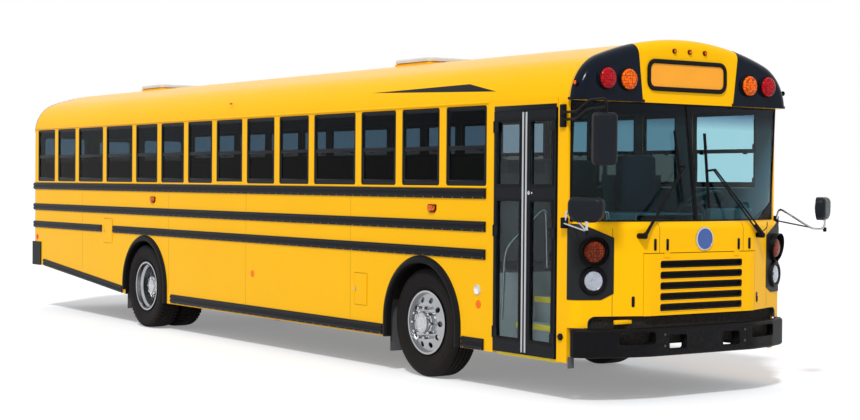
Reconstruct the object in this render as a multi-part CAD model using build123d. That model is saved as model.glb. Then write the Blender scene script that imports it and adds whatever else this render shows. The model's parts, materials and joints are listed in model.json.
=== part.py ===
"""A transit-style school bus with a flat front, a front engine and its entry door ahead of the front axle."""
import os
from math import asin, cos, radians, sin, tan

from build123d import *

os.makedirs("parts", exist_ok=True)

# The finished part has +Z up, the bus facing -Y, its entry door on the -X side and the ground at z = 0.
# Everything below is drawn in millimetres with y measured backwards from the flat face of the grille,
# and node() moves it by grille_y, so that the origin is under the middle of the whole bus.
grille_y = -5875

# Body shell
half_width = 1219
body_rear = 12000
wall = 40
roof_top = 3040
crown_radius = 2750
corner_radius = 411
roof_eaves = 2530
skirt_low = 335
sill = 1785
window_top = 2496
floor_top = 1025
floor_depth = 50
pillar_front = 325
pillar_rear = 462

# Wheels and axles
wheelbase = 5958
front_axle = 2423
rear_axle = front_axle + wheelbase
tyre_radius = 508
tyre_width = 276
tyre_tread = 222
bead_radius = 286
rim_radius = 298
rim_width = 235
front_wheel_x = 1042
rear_outer_x = 1078
twin_spacing = 320
kingpin_x = 930
spindle_radius = 40
running_gap = 0.5
arch_radius = 556

# Side windows, from the rear: N is a narrow window and W a wide one
window_row = "NNWWNNNNNNWNNN"
window_widths = {"N": 611, "W": 793}
window_gap = 102.5
window_rear = 11864

# Entry door opening
door_front, door_rear = 470, 1322
door_low, door_high = 345, 2442
door_gap = 8
leaf_thick = 36
leaf_outer = 1228

# Front end: the flat middle, then slanted cheeks, then a rounded corner
flat_half = 620
cheek_angle = radians(21.8)
corner_turn = 110
cheek_turn = 260
cowl_low, cowl_top = 628, 1500
cowl_wall = 35
header_front, header_low = 178, 2500

glass_thick = 6


def block(xs, ys, zs):
    """A box between pairs of limits."""
    sizes = [high - low for low, high in (xs, ys, zs)]
    middle = [(high + low) / 2 for low, high in (xs, ys, zs)]
    return Pos(*middle) * Box(*sizes)


def rod_x(radius, x0, x1, y, z):
    """A round bar along X."""
    return Pos((x0 + x1) / 2, y, z) * Rot(0, 90, 0) * Cylinder(radius, abs(x1 - x0))


def rod_y(radius, x, y0, y1, z):
    """A round bar along Y."""
    return Pos(x, (y0 + y1) / 2, z) * Rot(90, 0, 0) * Cylinder(radius, abs(y1 - y0))


def rod_z(radius, x, y, z0, z1):
    """A round bar along Z."""
    return Pos(x, y, (z0 + z1) / 2) * Cylinder(radius, abs(z1 - z0))


def rounded(xs, ys, zs, axis, radius):
    """A box with its four edges along one axis rounded."""
    plain = block(xs, ys, zs)
    return fillet(plain.edges().filter_by(axis), radius)


def mirrored(shape):
    """The same shape on the other side of the bus."""
    return mirror(shape, about=Plane.YZ)


def both(*shapes):
    """Shapes and their mirror images, as a list of separate solids."""
    return list(shapes) + [mirrored(shape) for shape in shapes]


def fused(shapes):
    """One solid from shapes that touch."""
    whole = shapes[0]
    for shape in shapes[1:]:
        whole = whole + shape
    return whole


def side_plate(points, x0, x1):
    """A flat plate along the bus: an outline of (y, z) points, between two x values."""
    outline = make_face(Plane.YZ * Polyline(*points, close=True))
    return Pos(x0, 0, 0) * extrude(outline, amount=x1 - x0, dir=(1, 0, 0))


def cross_plate(points, y0, y1):
    """A flat plate across the bus: an outline of (x, z) points, between two y values."""
    outline = make_face(Plane.XZ * Polyline(*points, close=True))
    return Pos(0, y0, 0) * extrude(outline, amount=y1 - y0, dir=(0, 1, 0))


def plan_plate(points, z0, z1):
    """A flat plate seen from above: an outline of (x, y) points, between two z values."""
    outline = make_face(Plane.XY * Polyline(*points, close=True))
    return Pos(0, 0, z0) * extrude(outline, amount=z1 - z0, dir=(0, 0, 1))


def corner_arc(before, corner, after, radius):
    """Start, middle and end of the tangent arc that rounds one corner of a flat path."""
    corner = Vector(*corner)
    arm_in = (Vector(*before) - corner).normalized()
    arm_out = (Vector(*after) - corner).normalized()
    half_turn = radians(arm_in.get_angle(arm_out)) / 2
    bisector = (arm_in + arm_out).normalized()
    reach = radius / tan(half_turn)
    middle = corner + bisector * (radius / sin(half_turn) - radius)
    return corner + arm_in * reach, middle, corner + arm_out * reach


def rounded_outline(corners, radii):
    """A closed flat face whose corners are rounded; a radius of 0 leaves a corner sharp."""
    count = len(corners)
    arcs = [
        corner_arc(corners[i - 1], corners[i], corners[(i + 1) % count], radii[i]) if radii[i] else None
        for i in range(count)
    ]
    with BuildSketch() as sketch:
        with BuildLine():
            for i in range(count):
                start = arcs[i][2] if arcs[i] else corners[i]
                following = (i + 1) % count
                end = arcs[following][0] if arcs[following] else corners[following]
                Line(start, end)
                if arcs[following]:
                    ThreePointArc(*arcs[following])
        make_face()
    return sketch.sketch


def tube(points, radii, radius):
    """A bent round tube through the points, with a bend radius for each inner point."""
    path = FilletPolyline(*points, radius=radii)
    start = Plane(path @ 0, z_dir=path % 0)
    return sweep(start * Circle(radius), path=path)


def rod_between(start, end, radius):
    """A straight round rod from one point to another."""
    run = Vector(*end) - Vector(*start)
    return Plane(start, z_dir=run) * Pos(0, 0, run.length / 2) * Cylinder(radius, run.length)


def node(name, shapes):
    """Write one sub-part, from one shape or a list of separate ones."""
    parts = shapes if isinstance(shapes, list) else [shapes]
    solids = [solid for part in parts for solid in part.solids()]
    moved = [Pos(0, grille_y, 0) * solid for solid in solids]
    whole = moved[0] if len(moved) == 1 else Compound(children=moved)
    export_step(whole, f"parts/{name}.step")


# ---------------------------------------------------------------- body shell
def body_section(inset, low):
    """The cross-section of the body: straight sides, round corners and a flatter crown."""
    crown = crown_radius - inset
    corner = corner_radius - inset
    corner_x = half_width - corner_radius
    tilt = asin(corner_x / (crown_radius - corner_radius))
    crown_z = roof_top - crown_radius
    corner_z = crown_z + (crown_radius - corner_radius) * cos(tilt)
    side = half_width - inset
    knee = radians(90)
    middle = (knee + tilt) / 2

    def corner_point(angle, sign):
        return (sign * (corner_x + corner * sin(angle)), corner_z + corner * cos(angle))

    with BuildSketch(Plane.XZ) as section:
        with BuildLine():
            Line((-side, low), corner_point(knee, -1))
            ThreePointArc(corner_point(knee, -1), corner_point(middle, -1), corner_point(tilt, -1))
            ThreePointArc(corner_point(tilt, -1), (0, crown_z + crown), corner_point(tilt, 1))
            ThreePointArc(corner_point(tilt, 1), corner_point(middle, 1), corner_point(knee, 1))
            Line(corner_point(knee, 1), (side, low))
            Line((side, low), (-side, low))
        make_face()
    return section.sketch


def body_bar(inset, low, y0, y1):
    """A bar with the body's cross-section."""
    return Pos(0, y0, 0) * extrude(body_section(inset, low), amount=y1 - y0, dir=(0, 1, 0))


def window_spans():
    """Front and rear y of each side window, from the rear."""
    spans = []
    rear = window_rear
    for kind in window_row:
        front = rear - window_widths[kind]
        spans.append((front, rear))
        rear = front - window_gap
    return spans


def arch_cut(axle, x0, x1):
    """What a wheel arch removes: a round top and straight sides, down past the skirt."""
    return rod_x(arch_radius, x0, x1, axle, tyre_radius) + block(
        (x0, x1), (axle - arch_radius, axle + arch_radius), (0, tyre_radius)
    )


skirt_slope_start = 9018
skirt_slope = 0.0877


def skirt_z(y):
    """Height of the lower edge of the side, which climbs behind the rear wheels."""
    return skirt_low + max(0, y - skirt_slope_start) * skirt_slope + (40 if y > rear_axle else 0)


def side_panel(front):
    """The side below the windows, from y = front to the rear wall, with both wheel arches."""
    outline = [
        (front, sill),
        (front, skirt_low),
        (rear_axle, skirt_low),
        (rear_axle + arch_radius, skirt_z(rear_axle + arch_radius)),
        (body_rear - wall, skirt_z(body_rear - wall)),
        (body_rear - wall, sill),
    ]
    return side_plate(outline, -half_width, wall - half_width)


side_right = side_panel(door_rear)
side_left = mirrored(side_panel(pillar_rear))
for axle in (front_axle, rear_axle):
    side_right -= arch_cut(axle, -half_width - 10, -half_width + wall + 10)
    side_left -= arch_cut(axle, half_width - wall - 10, half_width + 10)

# Filler doors on the right side: name, front y, rear y, low z, high z
filler_doors = [
    ("fuel_door", 9345, 9600, 1005, 1312),
    ("fluid_door", 3345, 3565, 610, 916),
]
filler_gap = 6
filler_depth = 12
for name, front, rear, low, high in filler_doors:
    side_right -= block(
        (-half_width - 1, -half_width + filler_depth + 1), (front - filler_gap, rear + filler_gap),
        (low - filler_gap, high + filler_gap),
    )
node("side_panel_right", side_right)
node("side_panel_left", side_left)

for name, front, rear, low, high in filler_doors:
    leaf = block((-half_width - 2, -half_width + filler_depth - 4), (front, rear), (low, high))
    knuckles = rod_z(5, -half_width - 5, front + 4, low + 20, high - 20)
    node(name, leaf + knuckles)

driver_window = (520, 1340)


def window_posts(front):
    """The band of posts between the window openings."""
    return block((-half_width, wall - half_width), (front, body_rear - wall), (sill, roof_eaves))


posts_right = window_posts(door_rear) + block(
    (-half_width, wall - half_width), (pillar_rear, door_rear), (door_high + 6, roof_eaves)
)
posts_left = mirrored(window_posts(pillar_rear))
openings_right = window_spans()
openings_left = window_spans()[:-1] + [(1560, 2042), driver_window]
for side, spans in ((-1, openings_right), (1, openings_left)):
    for front, rear in spans:
        opening = rounded(
            (half_width - wall - 5, half_width + 5), (front, rear), (sill, window_top), Axis.X, 28
        )
        if side < 0:
            posts_right -= mirrored(opening)
        else:
            posts_left -= opening
node("window_posts", [posts_right, posts_left])

# Window panes, each with the bar where its two sashes meet
pane_inset = 14
meeting_bar = 2125
panes = []
for side, spans in ((-1, openings_right), (1, openings_left)):
    for front, rear in spans:
        pane = rounded(
            (half_width - pane_inset - glass_thick, half_width - pane_inset), (front + 1, rear - 1),
            (sill + 1, window_top - 1), Axis.X, 27,
        )
        pane += block(
            (half_width - pane_inset - 16, half_width - pane_inset + 4), (front + 1, rear - 1),
            (meeting_bar - 17, meeting_bar + 17),
        )
        panes.append(mirrored(pane) if side < 0 else pane)

# Roof shell with two hatch openings
roof_front = 306
roof = body_bar(0, 2000, roof_front, body_rear - wall) - body_bar(wall, 1900, roof_front - 10, body_rear)
roof -= block((-2000, 2000), (0, 20000), (1000, roof_eaves))
hatch_centres = [3900, 10090]
hatch_half_x, hatch_half_y = 300, 290
for centre in hatch_centres:
    roof -= block((-hatch_half_x, hatch_half_x), (centre - hatch_half_y, centre + hatch_half_y), (2800, 3100))
curb_width = 25
for centre in hatch_centres:
    hatch_x = (-hatch_half_x, hatch_half_x)
    hatch_y = (centre - hatch_half_y, centre + hatch_half_y)
    curb = block(
        (hatch_x[0] - curb_width, hatch_x[1] + curb_width),
        (hatch_y[0] - curb_width, hatch_y[1] + curb_width), (2990, roof_top + 4),
    )
    roof += curb - block(hatch_x, hatch_y, (2900, 3100))
node("roof", roof)

# Each hatch lid sits on its opening and hinges at its front edge
lid_low, lid_lap = roof_top + 10, 35
lid_hinge_y, lid_hinge_z = -hatch_half_y - lid_lap - 5, lid_low + 5
for name, centre in zip(("roof_hatch_front", "roof_hatch_rear"), hatch_centres):
    lid = rounded(
        (-hatch_half_x - lid_lap, hatch_half_x + lid_lap),
        (centre - hatch_half_y - lid_lap, centre + hatch_half_y + lid_lap),
        (lid_low, lid_low + 40), Axis.Z, 60,
    )
    lid = chamfer(lid.faces().sort_by(Axis.Z)[-1].edges(), 15)
    for x in (-180, 100):
        lid += rod_x(6, x, x + 80, centre + lid_hinge_y, lid_hinge_z)
    node(name, lid)

# Rear wall with the emergency doorway and a window on each side of it
rear_door_half = 330
rear_door_low, rear_door_high = 1060, 2420
rear_low = skirt_z(body_rear)
rear_window = (455, 1075, 1800, 2400)
rear_wall = body_bar(0, rear_low, body_rear - wall, body_rear)
rear_wall = fillet(rear_wall.faces().sort_by(Axis.Y)[-1].edges().filter_by(
    lambda edge: edge.length < 2000 and edge.bounding_box().max.Z > rear_low + 1), 36)
rear_wall -= block((-rear_door_half, rear_door_half), (11900, 12100), (rear_door_low, rear_door_high))
x0, x1, z0, z1 = rear_window
hole = rounded((x0, x1), (11900, 12100), (z0, z1), Axis.Y, 60)
rear_wall = rear_wall - hole - mirrored(hole)
plate_x, plate_z, plate_spacing, plate_hole = 600, 1330, 178, 3.5
for x in (plate_x - plate_spacing / 2, plate_x + plate_spacing / 2):
    rear_wall -= rod_y(plate_hole, x, 11900, 12100, plate_z)
node("rear_wall", rear_wall)
rear_pane = rounded(
    (x0 + 1, x1 - 1), (body_rear - 20, body_rear - 20 + glass_thick), (z0 + 1, z1 - 1), Axis.Y, 59
)
panes += both(rear_pane)
node("body_windows", panes)

door_clear = 8
door_y0, door_y1 = body_rear - 34, body_rear + 4
rear_leaf = rounded(
    (-rear_door_half + door_clear, rear_door_half - door_clear), (door_y0, door_y1),
    (rear_door_low + door_clear, rear_door_high - door_clear), Axis.Y, 20,
)
rear_lights = [(1830, 2370), (1240, 1680)]
for z0, z1 in rear_lights:
    rear_leaf -= rounded((-245, 245), (11900, 12100), (z0, z1), Axis.Y, 50)
rear_hinge_x = -rear_door_half + 2
rear_hinge_y = body_rear + 16
for z in (1200, 1740, 2280):
    rear_leaf += rod_z(9, rear_hinge_x + 4, rear_hinge_y, z - 60, z + 60)
    rear_leaf += block(
        (rear_hinge_x, rear_hinge_x + 90), (body_rear, body_rear + 20), (z - 50, z + 50)
    )
rear_leaf += block((180, 200), (body_rear + 4, body_rear + 45), (1720, 1740))
rear_leaf += block((90, 210), (body_rear + 33, body_rear + 45), (1716, 1744))
node("rear_door", rear_leaf)
rear_glass = [
    rounded((-244, 244), (body_rear - 16, body_rear - 16 + glass_thick), (z0 + 1, z1 - 1), Axis.Y, 49)
    for z0, z1 in rear_lights
]
node("rear_door_glass", rear_glass)


# ---------------------------------------------------------------- front end
def front_plan(inset, back_y, z0, z1):
    """The plan shape of the front end as a solid, inset from its outer skin, back to back_y."""
    slope = tan(cheek_angle)
    side = half_width - inset
    cheek_shift = inset / cos(cheek_angle)
    corner_y = (side - flat_half) * slope + cheek_shift
    flat_x = flat_half - (cheek_shift - inset) / slope
    corners = [
        (-side, back_y), (-side, corner_y), (-flat_x, inset),
        (flat_x, inset), (side, corner_y), (side, back_y),
    ]
    radii = [0, corner_turn - inset, cheek_turn, cheek_turn, corner_turn - inset, 0]
    return Pos(0, 0, z0) * extrude(rounded_outline(corners, radii), amount=z1 - z0, dir=(0, 0, 1))


cowl = front_plan(0, pillar_front, cowl_low, cowl_top)
front_edges = cowl.faces().sort_by(Axis.Z)[-1].edges().filter_by(
    lambda edge: edge.bounding_box().min.Y < pillar_front - 15)
cowl = fillet(front_edges, 70)
cowl -= front_plan(cowl_wall, pillar_front + 10, cowl_low - 10, cowl_top - cowl_wall)
grille_half, grille_low, grille_high = 652, 720, 1236
grille_hinge_y, grille_hinge_z, grille_hinge_radius = -6, 1238, 4
panel_gap = 6
cowl -= block(
    (-grille_half - panel_gap, grille_half + panel_gap), (-10, cowl_wall + 90),
    (grille_low - panel_gap, grille_high + panel_gap),
)
# The gap between the sheet and the bumper
cowl -= rounded((-1105, 1105), (-10, pillar_front - 12), (500, 722), Axis.Y, 60)
node("front_cowl", cowl)

# The grille panel hinges along its top edge
panel = front_plan(0, pillar_front, grille_low, grille_high)
panel -= front_plan(26, pillar_front + 1, grille_low - 5, grille_high + 5)
panel = panel & block((-grille_half, grille_half), (-20, 60), (grille_low, grille_high))
slot_half, slot_high, slot_pitch, slot_top = 472, 43, 89.7, 1166
for row in range(5):
    top = slot_top - row * slot_pitch
    panel -= rounded((-slot_half, slot_half), (-20, 60), (top - slot_high, top), Axis.Y, 12)
for x in (-440, 380):
    panel += rod_x(grille_hinge_radius, x, x + 60, grille_hinge_y, grille_hinge_z)
    panel += block((x, x + 60), (grille_hinge_y - 2, 2), (grille_high - 30, grille_high))
node("grille_panel", panel)


def windshield_sheet(depth, y_shift):
    """The curved, leaning sheet between the cowl and the header."""
    levels = [
        (cowl_top, 68, 333),
        (header_low, 195, 294),
    ]
    faces = []
    for z, middle_y, side_y in levels:
        with BuildSketch(Plane.XY.offset(z)) as level:
            with BuildLine():
                ThreePointArc((-1195, side_y + y_shift), (0, middle_y + y_shift), (1195, side_y + y_shift))
                Line((1195, side_y + y_shift), (1195, side_y + y_shift + depth))
                ThreePointArc(
                    (1195, side_y + y_shift + depth), (0, middle_y + y_shift + depth),
                    (-1195, side_y + y_shift + depth),
                )
                Line((-1195, side_y + y_shift + depth), (-1195, side_y + y_shift))
            make_face()
        faces.append(level.sketch)
    return loft(faces, ruled=True)


ear_low_x, ear_high_z = 930, 1660
glass_outline = [
    (-1180, header_low - 12), (-1180, ear_high_z), (-ear_low_x, cowl_top + 12), (ear_low_x, cowl_top + 12),
    (1180, ear_high_z), (1180, header_low - 12),
]
glass_cut = cross_plate(glass_outline, -100, 600)
windshield = windshield_sheet(glass_thick, 6) & glass_cut
node("windshield", windshield)

# The frame around the windshield, with the divider between its two panes
frame_sheet = windshield_sheet(30, 0)
frame = frame_sheet - glass_cut
divider = frame_sheet & block((-16, 16), (0, 400), (cowl_top + 5, header_low - 5))
frame = frame + (divider - windshield_sheet(glass_thick + 0.4, 5.8))
node("windshield_frame", frame)

below_header = block((-2000, 2000), (0, 1000), (1000, header_low))
header = body_bar(-14, 1900, header_front, roof_front)
header = fillet(header.faces().sort_by(Axis.Y)[0].edges().filter_by(
    lambda edge: edge.bounding_box().max.Z > 1901), 90)
header -= body_bar(45, 1800, header_front + 45, roof_front + 10)
header -= below_header
header_floor_x = half_width - 35
header += block(
    (-header_floor_x, header_floor_x), (header_front + 20, roof_front), (header_low, header_low + 25))
node("front_header", header)

# Corner pillars between the windshield and the first side openings
pillar = block((-half_width, -half_width + wall), (pillar_front, pillar_rear - 8), (skirt_low, header_low))
pillar += block((-half_width, -half_width + 40), (roof_front, pillar_rear - 8), (header_low, roof_eaves))
left_pillar = mirrored(pillar) + block(
    (half_width - wall, half_width), (pillar_rear - 8, pillar_rear), (skirt_low, roof_eaves))
windshield_path = windshield_sheet(70, -40)
node("front_pillars", [pillar - windshield_path, left_pillar - windshield_path])


# ---------------------------------------------------------------- trim outside
rail_depth = 22
rail_front = 1434
rails = [
    # front y, rear y, low z, high z
    (rail_front, body_rear, 1672, 1763),
    (rail_front, body_rear, 1381, 1473),
    (rail_front, 9312, 1137, 1228),
    (9667, body_rear, 1137, 1228),
    (3062, 7642, 348, 451),
    (1450, 1776, 338, 440),
]
rub_rails = []
for front, rear, low, high in rails:
    bar = block((-half_width - rail_depth, -half_width), (front, rear), (low, high))
    bar = chamfer(bar.edges().filter_by(Axis.Y).sort_by(Axis.X)[:2], 8)
    rub_rails += both(bar)
rear_rail = side_plate(
    [
        (9018, skirt_z(9018) + 8), (11640, skirt_z(11640) + 8), (11640, skirt_z(11640) + 98),
        (9018, skirt_z(9018) + 98),
    ],
    -half_width - rail_depth, -half_width,
)
rub_rails += both(rear_rail)
node("rub_rails", rub_rails)

# Rubber flares around the wheel arches
flare_width, flare_depth = 72, 30
flares = []
for axle, rear_leg in ((front_axle, skirt_low), (rear_axle, skirt_z(rear_axle + arch_radius + 60))):
    outer = arch_radius + flare_width
    x_range = (-half_width - flare_depth, -half_width)
    ring = rod_x(outer, *x_range, axle, tyre_radius)
    ring += block(x_range, (axle - outer, axle + outer), (skirt_low, tyre_radius))
    ring -= block((-2000, 0), (axle - 1000, axle + 1000), (-1000, skirt_low))
    ring = chamfer(ring.faces().sort_by(Axis.X)[0].edges().filter_by(
        lambda edge: edge.bounding_box().max.Z > skirt_low + 1), 14)
    ring -= arch_cut(axle, -half_width - 60, -half_width + 10)
    ring -= block(x_range, (axle, axle + 2000), (0, rear_leg))
    flares += both(ring)
node("arch_flares", flares)

# Wheelhouses: a sheet box over each wheel, open below and to the outside, with a mud flap behind
house_top = 1100
house_inner = {front_axle: 560, rear_axle: 600}
sheet = 12
houses = []
for axle in (front_axle, rear_axle):
    reach = arch_radius + 20
    inner = house_inner[axle]
    outer_x = -half_width + wall
    shell = block(
        (outer_x, -inner), (axle - reach - sheet, axle + reach + sheet), (floor_top - 340, house_top))
    shell -= block((outer_x - 5, -inner - sheet), (axle - reach, axle + reach), (0, house_top - sheet))
    houses += both(shell)
node("wheelhouses", houses)

flaps = []
flap_sizes = {front_axle: (640, 1160), rear_axle: (640, 1170)}
for axle, (inner, outer) in flap_sizes.items():
    y = axle + arch_radius + 20 + sheet
    flaps += both(block((-outer, -inner), (y, y + 10), (190, floor_top - floor_depth - 60)))
node("mud_flaps", flaps)

# ---------------------------------------------------------------- floor, steps and frame
step_rise, step_count = 220, 3
step_inner = 549
step_depth = 205
floor = block(
    (-half_width + wall, half_width - wall), (360, body_rear - wall), (floor_top - floor_depth, floor_top))
for axle in (front_axle, rear_axle):
    reach = arch_radius + 20 + sheet
    hole = block((-half_width, -house_inner[axle]), (axle - reach, axle + reach), (900, 1100))
    floor = floor - hole - mirrored(hole)
floor -= block((-half_width, -step_inner), (door_front - 10, door_rear), (900, 1100))
engine_bay = 330, 1500
floor -= block((-400, 400), engine_bay, (900, 1100))
rail_high, rail_deep, rail_out, rail_flange = 925, 255, 432, 80
sills_y = [1600, 2423, 3250, 4050, 4850, 5650, 6450, 7250, 8381, 9300, 10200, 11100, 11850]
for y in sills_y:
    half = 550 if y in (front_axle, rear_axle) else 1150
    floor += block((-half, half), (y - 30, y + 30), (rail_high, floor_top - floor_depth))
node("floor", floor)

steps = []
for index in range(step_count + 1):
    tread = floor_top - (step_count - index) * step_rise
    outer = half_width - 45 - index * step_depth
    if index < step_count:
        riser_top = tread + step_rise - 12 if index < step_count - 1 else floor_top
        riser_x = -outer + step_depth
        steps.append(block((-outer, riser_x + 10), (door_front, door_rear - 10), (tread - 12, tread)))
        steps.append(block((riser_x, riser_x + 10), (door_front, door_rear - 10), (tread, riser_top)))
well = fused(steps)
for y in (door_front, door_rear - 18):
    well += block(
        (-half_width + 45, -step_inner), (y, y + 8), (floor_top - step_count * step_rise - 12, floor_top))
node("stepwell", well)

# Ladder frame: two channels and their cross-members
frame_front, frame_rear = 60, 11850
web = 9
channel = block((-rail_out, -rail_out + web), (frame_front, frame_rear), (rail_high - rail_deep, rail_high))
for z in (rail_high - rail_deep, rail_high - web):
    channel += block((-rail_out, -rail_out + rail_flange), (frame_front, frame_rear), (z, z + web))
cross_members = [120, 2080, 2900, 4000, 5100, 6200, 7300, 8900, 9900, 10900, 11780]
rungs = [
    block((-rail_out + web, rail_out - web), (y - 35, y + 35), (rail_high - 200, rail_high - 130))
    for y in cross_members
]
tow_eye_x, tow_eye_y, tow_eye_z, tow_eye_hole = 391, 11800, 560, 22
tow_eye = block(
    (-tow_eye_x - 10, -tow_eye_x + 10), (tow_eye_y - 60, tow_eye_y + 45),
    (tow_eye_z - 55, rail_high - rail_deep),
)
tow_eye -= rod_x(tow_eye_hole, -tow_eye_x - 20, -tow_eye_x + 20, tow_eye_y, tow_eye_z)
node("chassis_frame", both(channel + tow_eye) + rungs)

engine = block((-300, 300), (560, 1480), (560, 1500))
engine += block((-140, 140), (1480, 2000), (600, 880))
core_y = (170, 250)
radiator = block((-335, 335), core_y, (700, 1380)) + block((-560, 560), core_y, (rail_high + 10, 1380))
for x in (-250, 250):
    radiator += block((x - 25, x + 25), (155, 170), (rail_high - 195, rail_high - 135))
node("engine_block", engine)
node("radiator", radiator)

engine_cover = block((-400, 400), (400, 1500), (floor_top - floor_depth, 1560))
engine_cover -= block((-385, 385), (385, 1485), (900, 1545))
engine_cover = fillet(engine_cover.faces().sort_by(Axis.Z)[-1].edges().filter_by(Axis.Y), 12)
node("engine_cover", engine_cover)

fuel_tank = rounded((470, 1080), (4300, 5900), (420, 880), Axis.Y, 60)
air_tanks = [rod_y(120, -620, 3500, 4200, 700), rod_y(120, -620, 4350, 4850, 700)]
straps = [block((rail_out, 475), (y, y + 60), (700, 860)) for y in (4600, 5500)]
brackets = [block((-515, -rail_out), (y, y + 50), (690, 720)) for y in (3800, 4550)]
node("tanks", [fused([fuel_tank] + straps)] + [tank + bracket for tank, bracket in zip(air_tanks, brackets)])

pipe_x, pipe_z, pipe_radius = -200, 640, 48
pipe_path = [
    (pipe_x, 1560, pipe_z), (pipe_x, 11200, pipe_z), (pipe_x, 11600, 520), (pipe_x, 12030, 520),
]
exhaust = tube(pipe_path, [400, 400], pipe_radius) + rod_y(110, pipe_x, 2700, 3700, pipe_z - 30)
for y in cross_members[3:7]:
    exhaust += block((pipe_x - 15, pipe_x + 15), (y - 15, y + 15), (pipe_z + 30, rail_high - 200))
node("exhaust", exhaust)

# ---------------------------------------------------------------- axles, springs and wheels
axle_z = tyre_radius
leaf_count, leaf_thick_spring, leaf_wide = 4, 14, 76


def leaf_spring(axle, half_length, x, base_z):
    """A pack of straight leaves, shorter towards the axle, with the hanger at each end."""
    pack = []
    leaf_x = (x - leaf_wide / 2, x + leaf_wide / 2)
    for index in range(leaf_count):
        half = half_length - index * half_length * 0.18
        low = base_z + (leaf_count - 1 - index) * leaf_thick_spring
        pack.append(block(leaf_x, (axle - half, axle + half), (low, low + leaf_thick_spring)))
    top = base_z + leaf_count * leaf_thick_spring
    for end in (axle - half_length + 40, axle + half_length - 40):
        pack.append(block((x - 30, x + 30), (end - 35, end + 35), (top, rail_high - rail_deep)))
    pack.append(block((x - 45, x + 45), (axle - 70, axle + 70), (axle_z, base_z)))
    return fused(pack)


# The front beam ends in an eye round each kingpin
beam_half_y = 45
axle_eye_radius, axle_eye_half = 34, 45
beam_y = (front_axle - beam_half_y, front_axle + beam_half_y)
beam = block((-kingpin_x + 95, kingpin_x - 95), beam_y, (axle_z - 75, axle_z + 25))
for side in (-1, 1):
    shoulder = sorted((side * (kingpin_x - 60), side * (kingpin_x - 120)))
    neck = sorted((side * kingpin_x, side * (kingpin_x - 70)))
    beam += block(shoulder, beam_y, (axle_z - 60, axle_z + 45))
    beam += block(
        neck, (front_axle - axle_eye_radius, front_axle + axle_eye_radius),
        (axle_z - axle_eye_half, axle_z + axle_eye_half),
    )
    beam += rod_z(
        axle_eye_radius, side * kingpin_x, front_axle, axle_z - axle_eye_half, axle_z + axle_eye_half)
    beam -= rod_z(spindle_radius / 2 + running_gap, side * kingpin_x, front_axle, axle_z - 60, axle_z + 60)
    beam += leaf_spring(front_axle, 640, side * (rail_out - 40), axle_z + 50)
node("front_axle", beam)

jaw_half = 38
knuckle = rod_z(spindle_radius / 2, -kingpin_x, front_axle, axle_z - 130, axle_z + 130)
for low, high in ((-130, -52), (52, 130)):
    knuckle += block(
        (-kingpin_x - 60, -kingpin_x + 40), (front_axle - jaw_half, front_axle + jaw_half),
        (axle_z + low, axle_z + high),
    )
knuckle += block(
    (-kingpin_x - 75, -kingpin_x - 45), (front_axle - 60, front_axle + 60), (axle_z - 130, axle_z + 130))
knuckle += rod_x(spindle_radius, -kingpin_x - 190, -kingpin_x - 60, front_axle, axle_z)
knuckle += block(
    (-kingpin_x - 30, -kingpin_x + 40), (front_axle + jaw_half, front_axle + 200),
    (axle_z - 110, axle_z - 80),
)
node("steering_knuckle_right", knuckle)
node("steering_knuckle_left", mirrored(knuckle))

axle_tube = rod_x(75, -640, 640, rear_axle, axle_z) + rod_x(spindle_radius + 10, -990, 990, rear_axle, axle_z)
differential = rod_y(165, 0, rear_axle - 150, rear_axle + 170, axle_z)
axle_tube += fillet(differential.edges(), 60)
for side in (-1, 1):
    axle_tube += leaf_spring(rear_axle, 760, side * (rail_out - 40), axle_z + 70)
node("rear_axle", axle_tube)


def turned(profile, x, y, z):
    """A solid of revolution about X through (y, z): profile is (offset along X, radius) points."""
    face = make_face(Plane.XY * Polyline(*profile, close=True))
    return Pos(x, y, z) * revolve(face, Axis.X, 360)


def tyre(x, y):
    """A tyre centred at x: a rounded ring with a flat tread."""
    half, tread = tyre_width / 2, tyre_tread / 2
    points = [
        (-93, bead_radius), (-95, rim_radius + 1), (-half + 14, bead_radius + 60), (-half, bead_radius + 118),
        (-half + 8, tyre_radius - 45), (-tread, tyre_radius - 12), (-tread + 12, tyre_radius),
    ]
    mirror_points = [(-offset, radius) for offset, radius in reversed(points)]
    return turned(points + mirror_points, x, y, axle_z)


rim_skin = 12
rim_well = 262
disc_thick = 22
hub_radius = 95
hand_holes = 10


def rim(x, y, disc_x):
    """A wheel rim centred at x: its disc stands disc_x from the middle and has a ring of hand holes."""
    half = rim_width / 2
    outside = [
        (-half, rim_radius), (-half + 20, rim_radius), (-half + 22, bead_radius), (-half + 52, bead_radius),
        (-40, rim_well),
    ]
    inside = [(-40, rim_well - rim_skin), (-half + 52, bead_radius - 14), (-half, bead_radius - 6)]
    barrel = outside + [(-px, radius) for px, radius in reversed(outside)]
    barrel += [(-px, radius) for px, radius in reversed(inside)] + inside
    face = 1 if disc_x > 0 else -1
    thick = face * disc_thick
    seat = face * min(abs(disc_x) - 50, half - 30)
    cone = [
        (seat, rim_well + 16), (seat + thick, rim_well + 20), (disc_x, 190), (disc_x, hub_radius - 5),
        (disc_x - thick, hub_radius - 5), (disc_x - thick, 180),
    ]
    whole = turned(barrel, x, y, axle_z) + turned(cone, x, y, axle_z)
    for turn in range(hand_holes):
        hole = Pos(x, y, axle_z) * Rot((turn + 0.5) * 360 / hand_holes, 0, 0)
        whole -= hole * Pos(disc_x - thick, 0, 216) * Rot(0, 90, 0) * Cylinder(27, 130)
    return whole


hub_start = kingpin_x + 82
front_rim = rim(-front_wheel_x, front_axle, -118)
front_rim += rod_x(hub_radius, -front_wheel_x - 172, -hub_start, front_axle, axle_z)
front_rim -= rod_x(spindle_radius + running_gap, -kingpin_x - 195, -hub_start + 1, front_axle, axle_z)
front_tyre = tyre(-front_wheel_x, front_axle)

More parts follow.
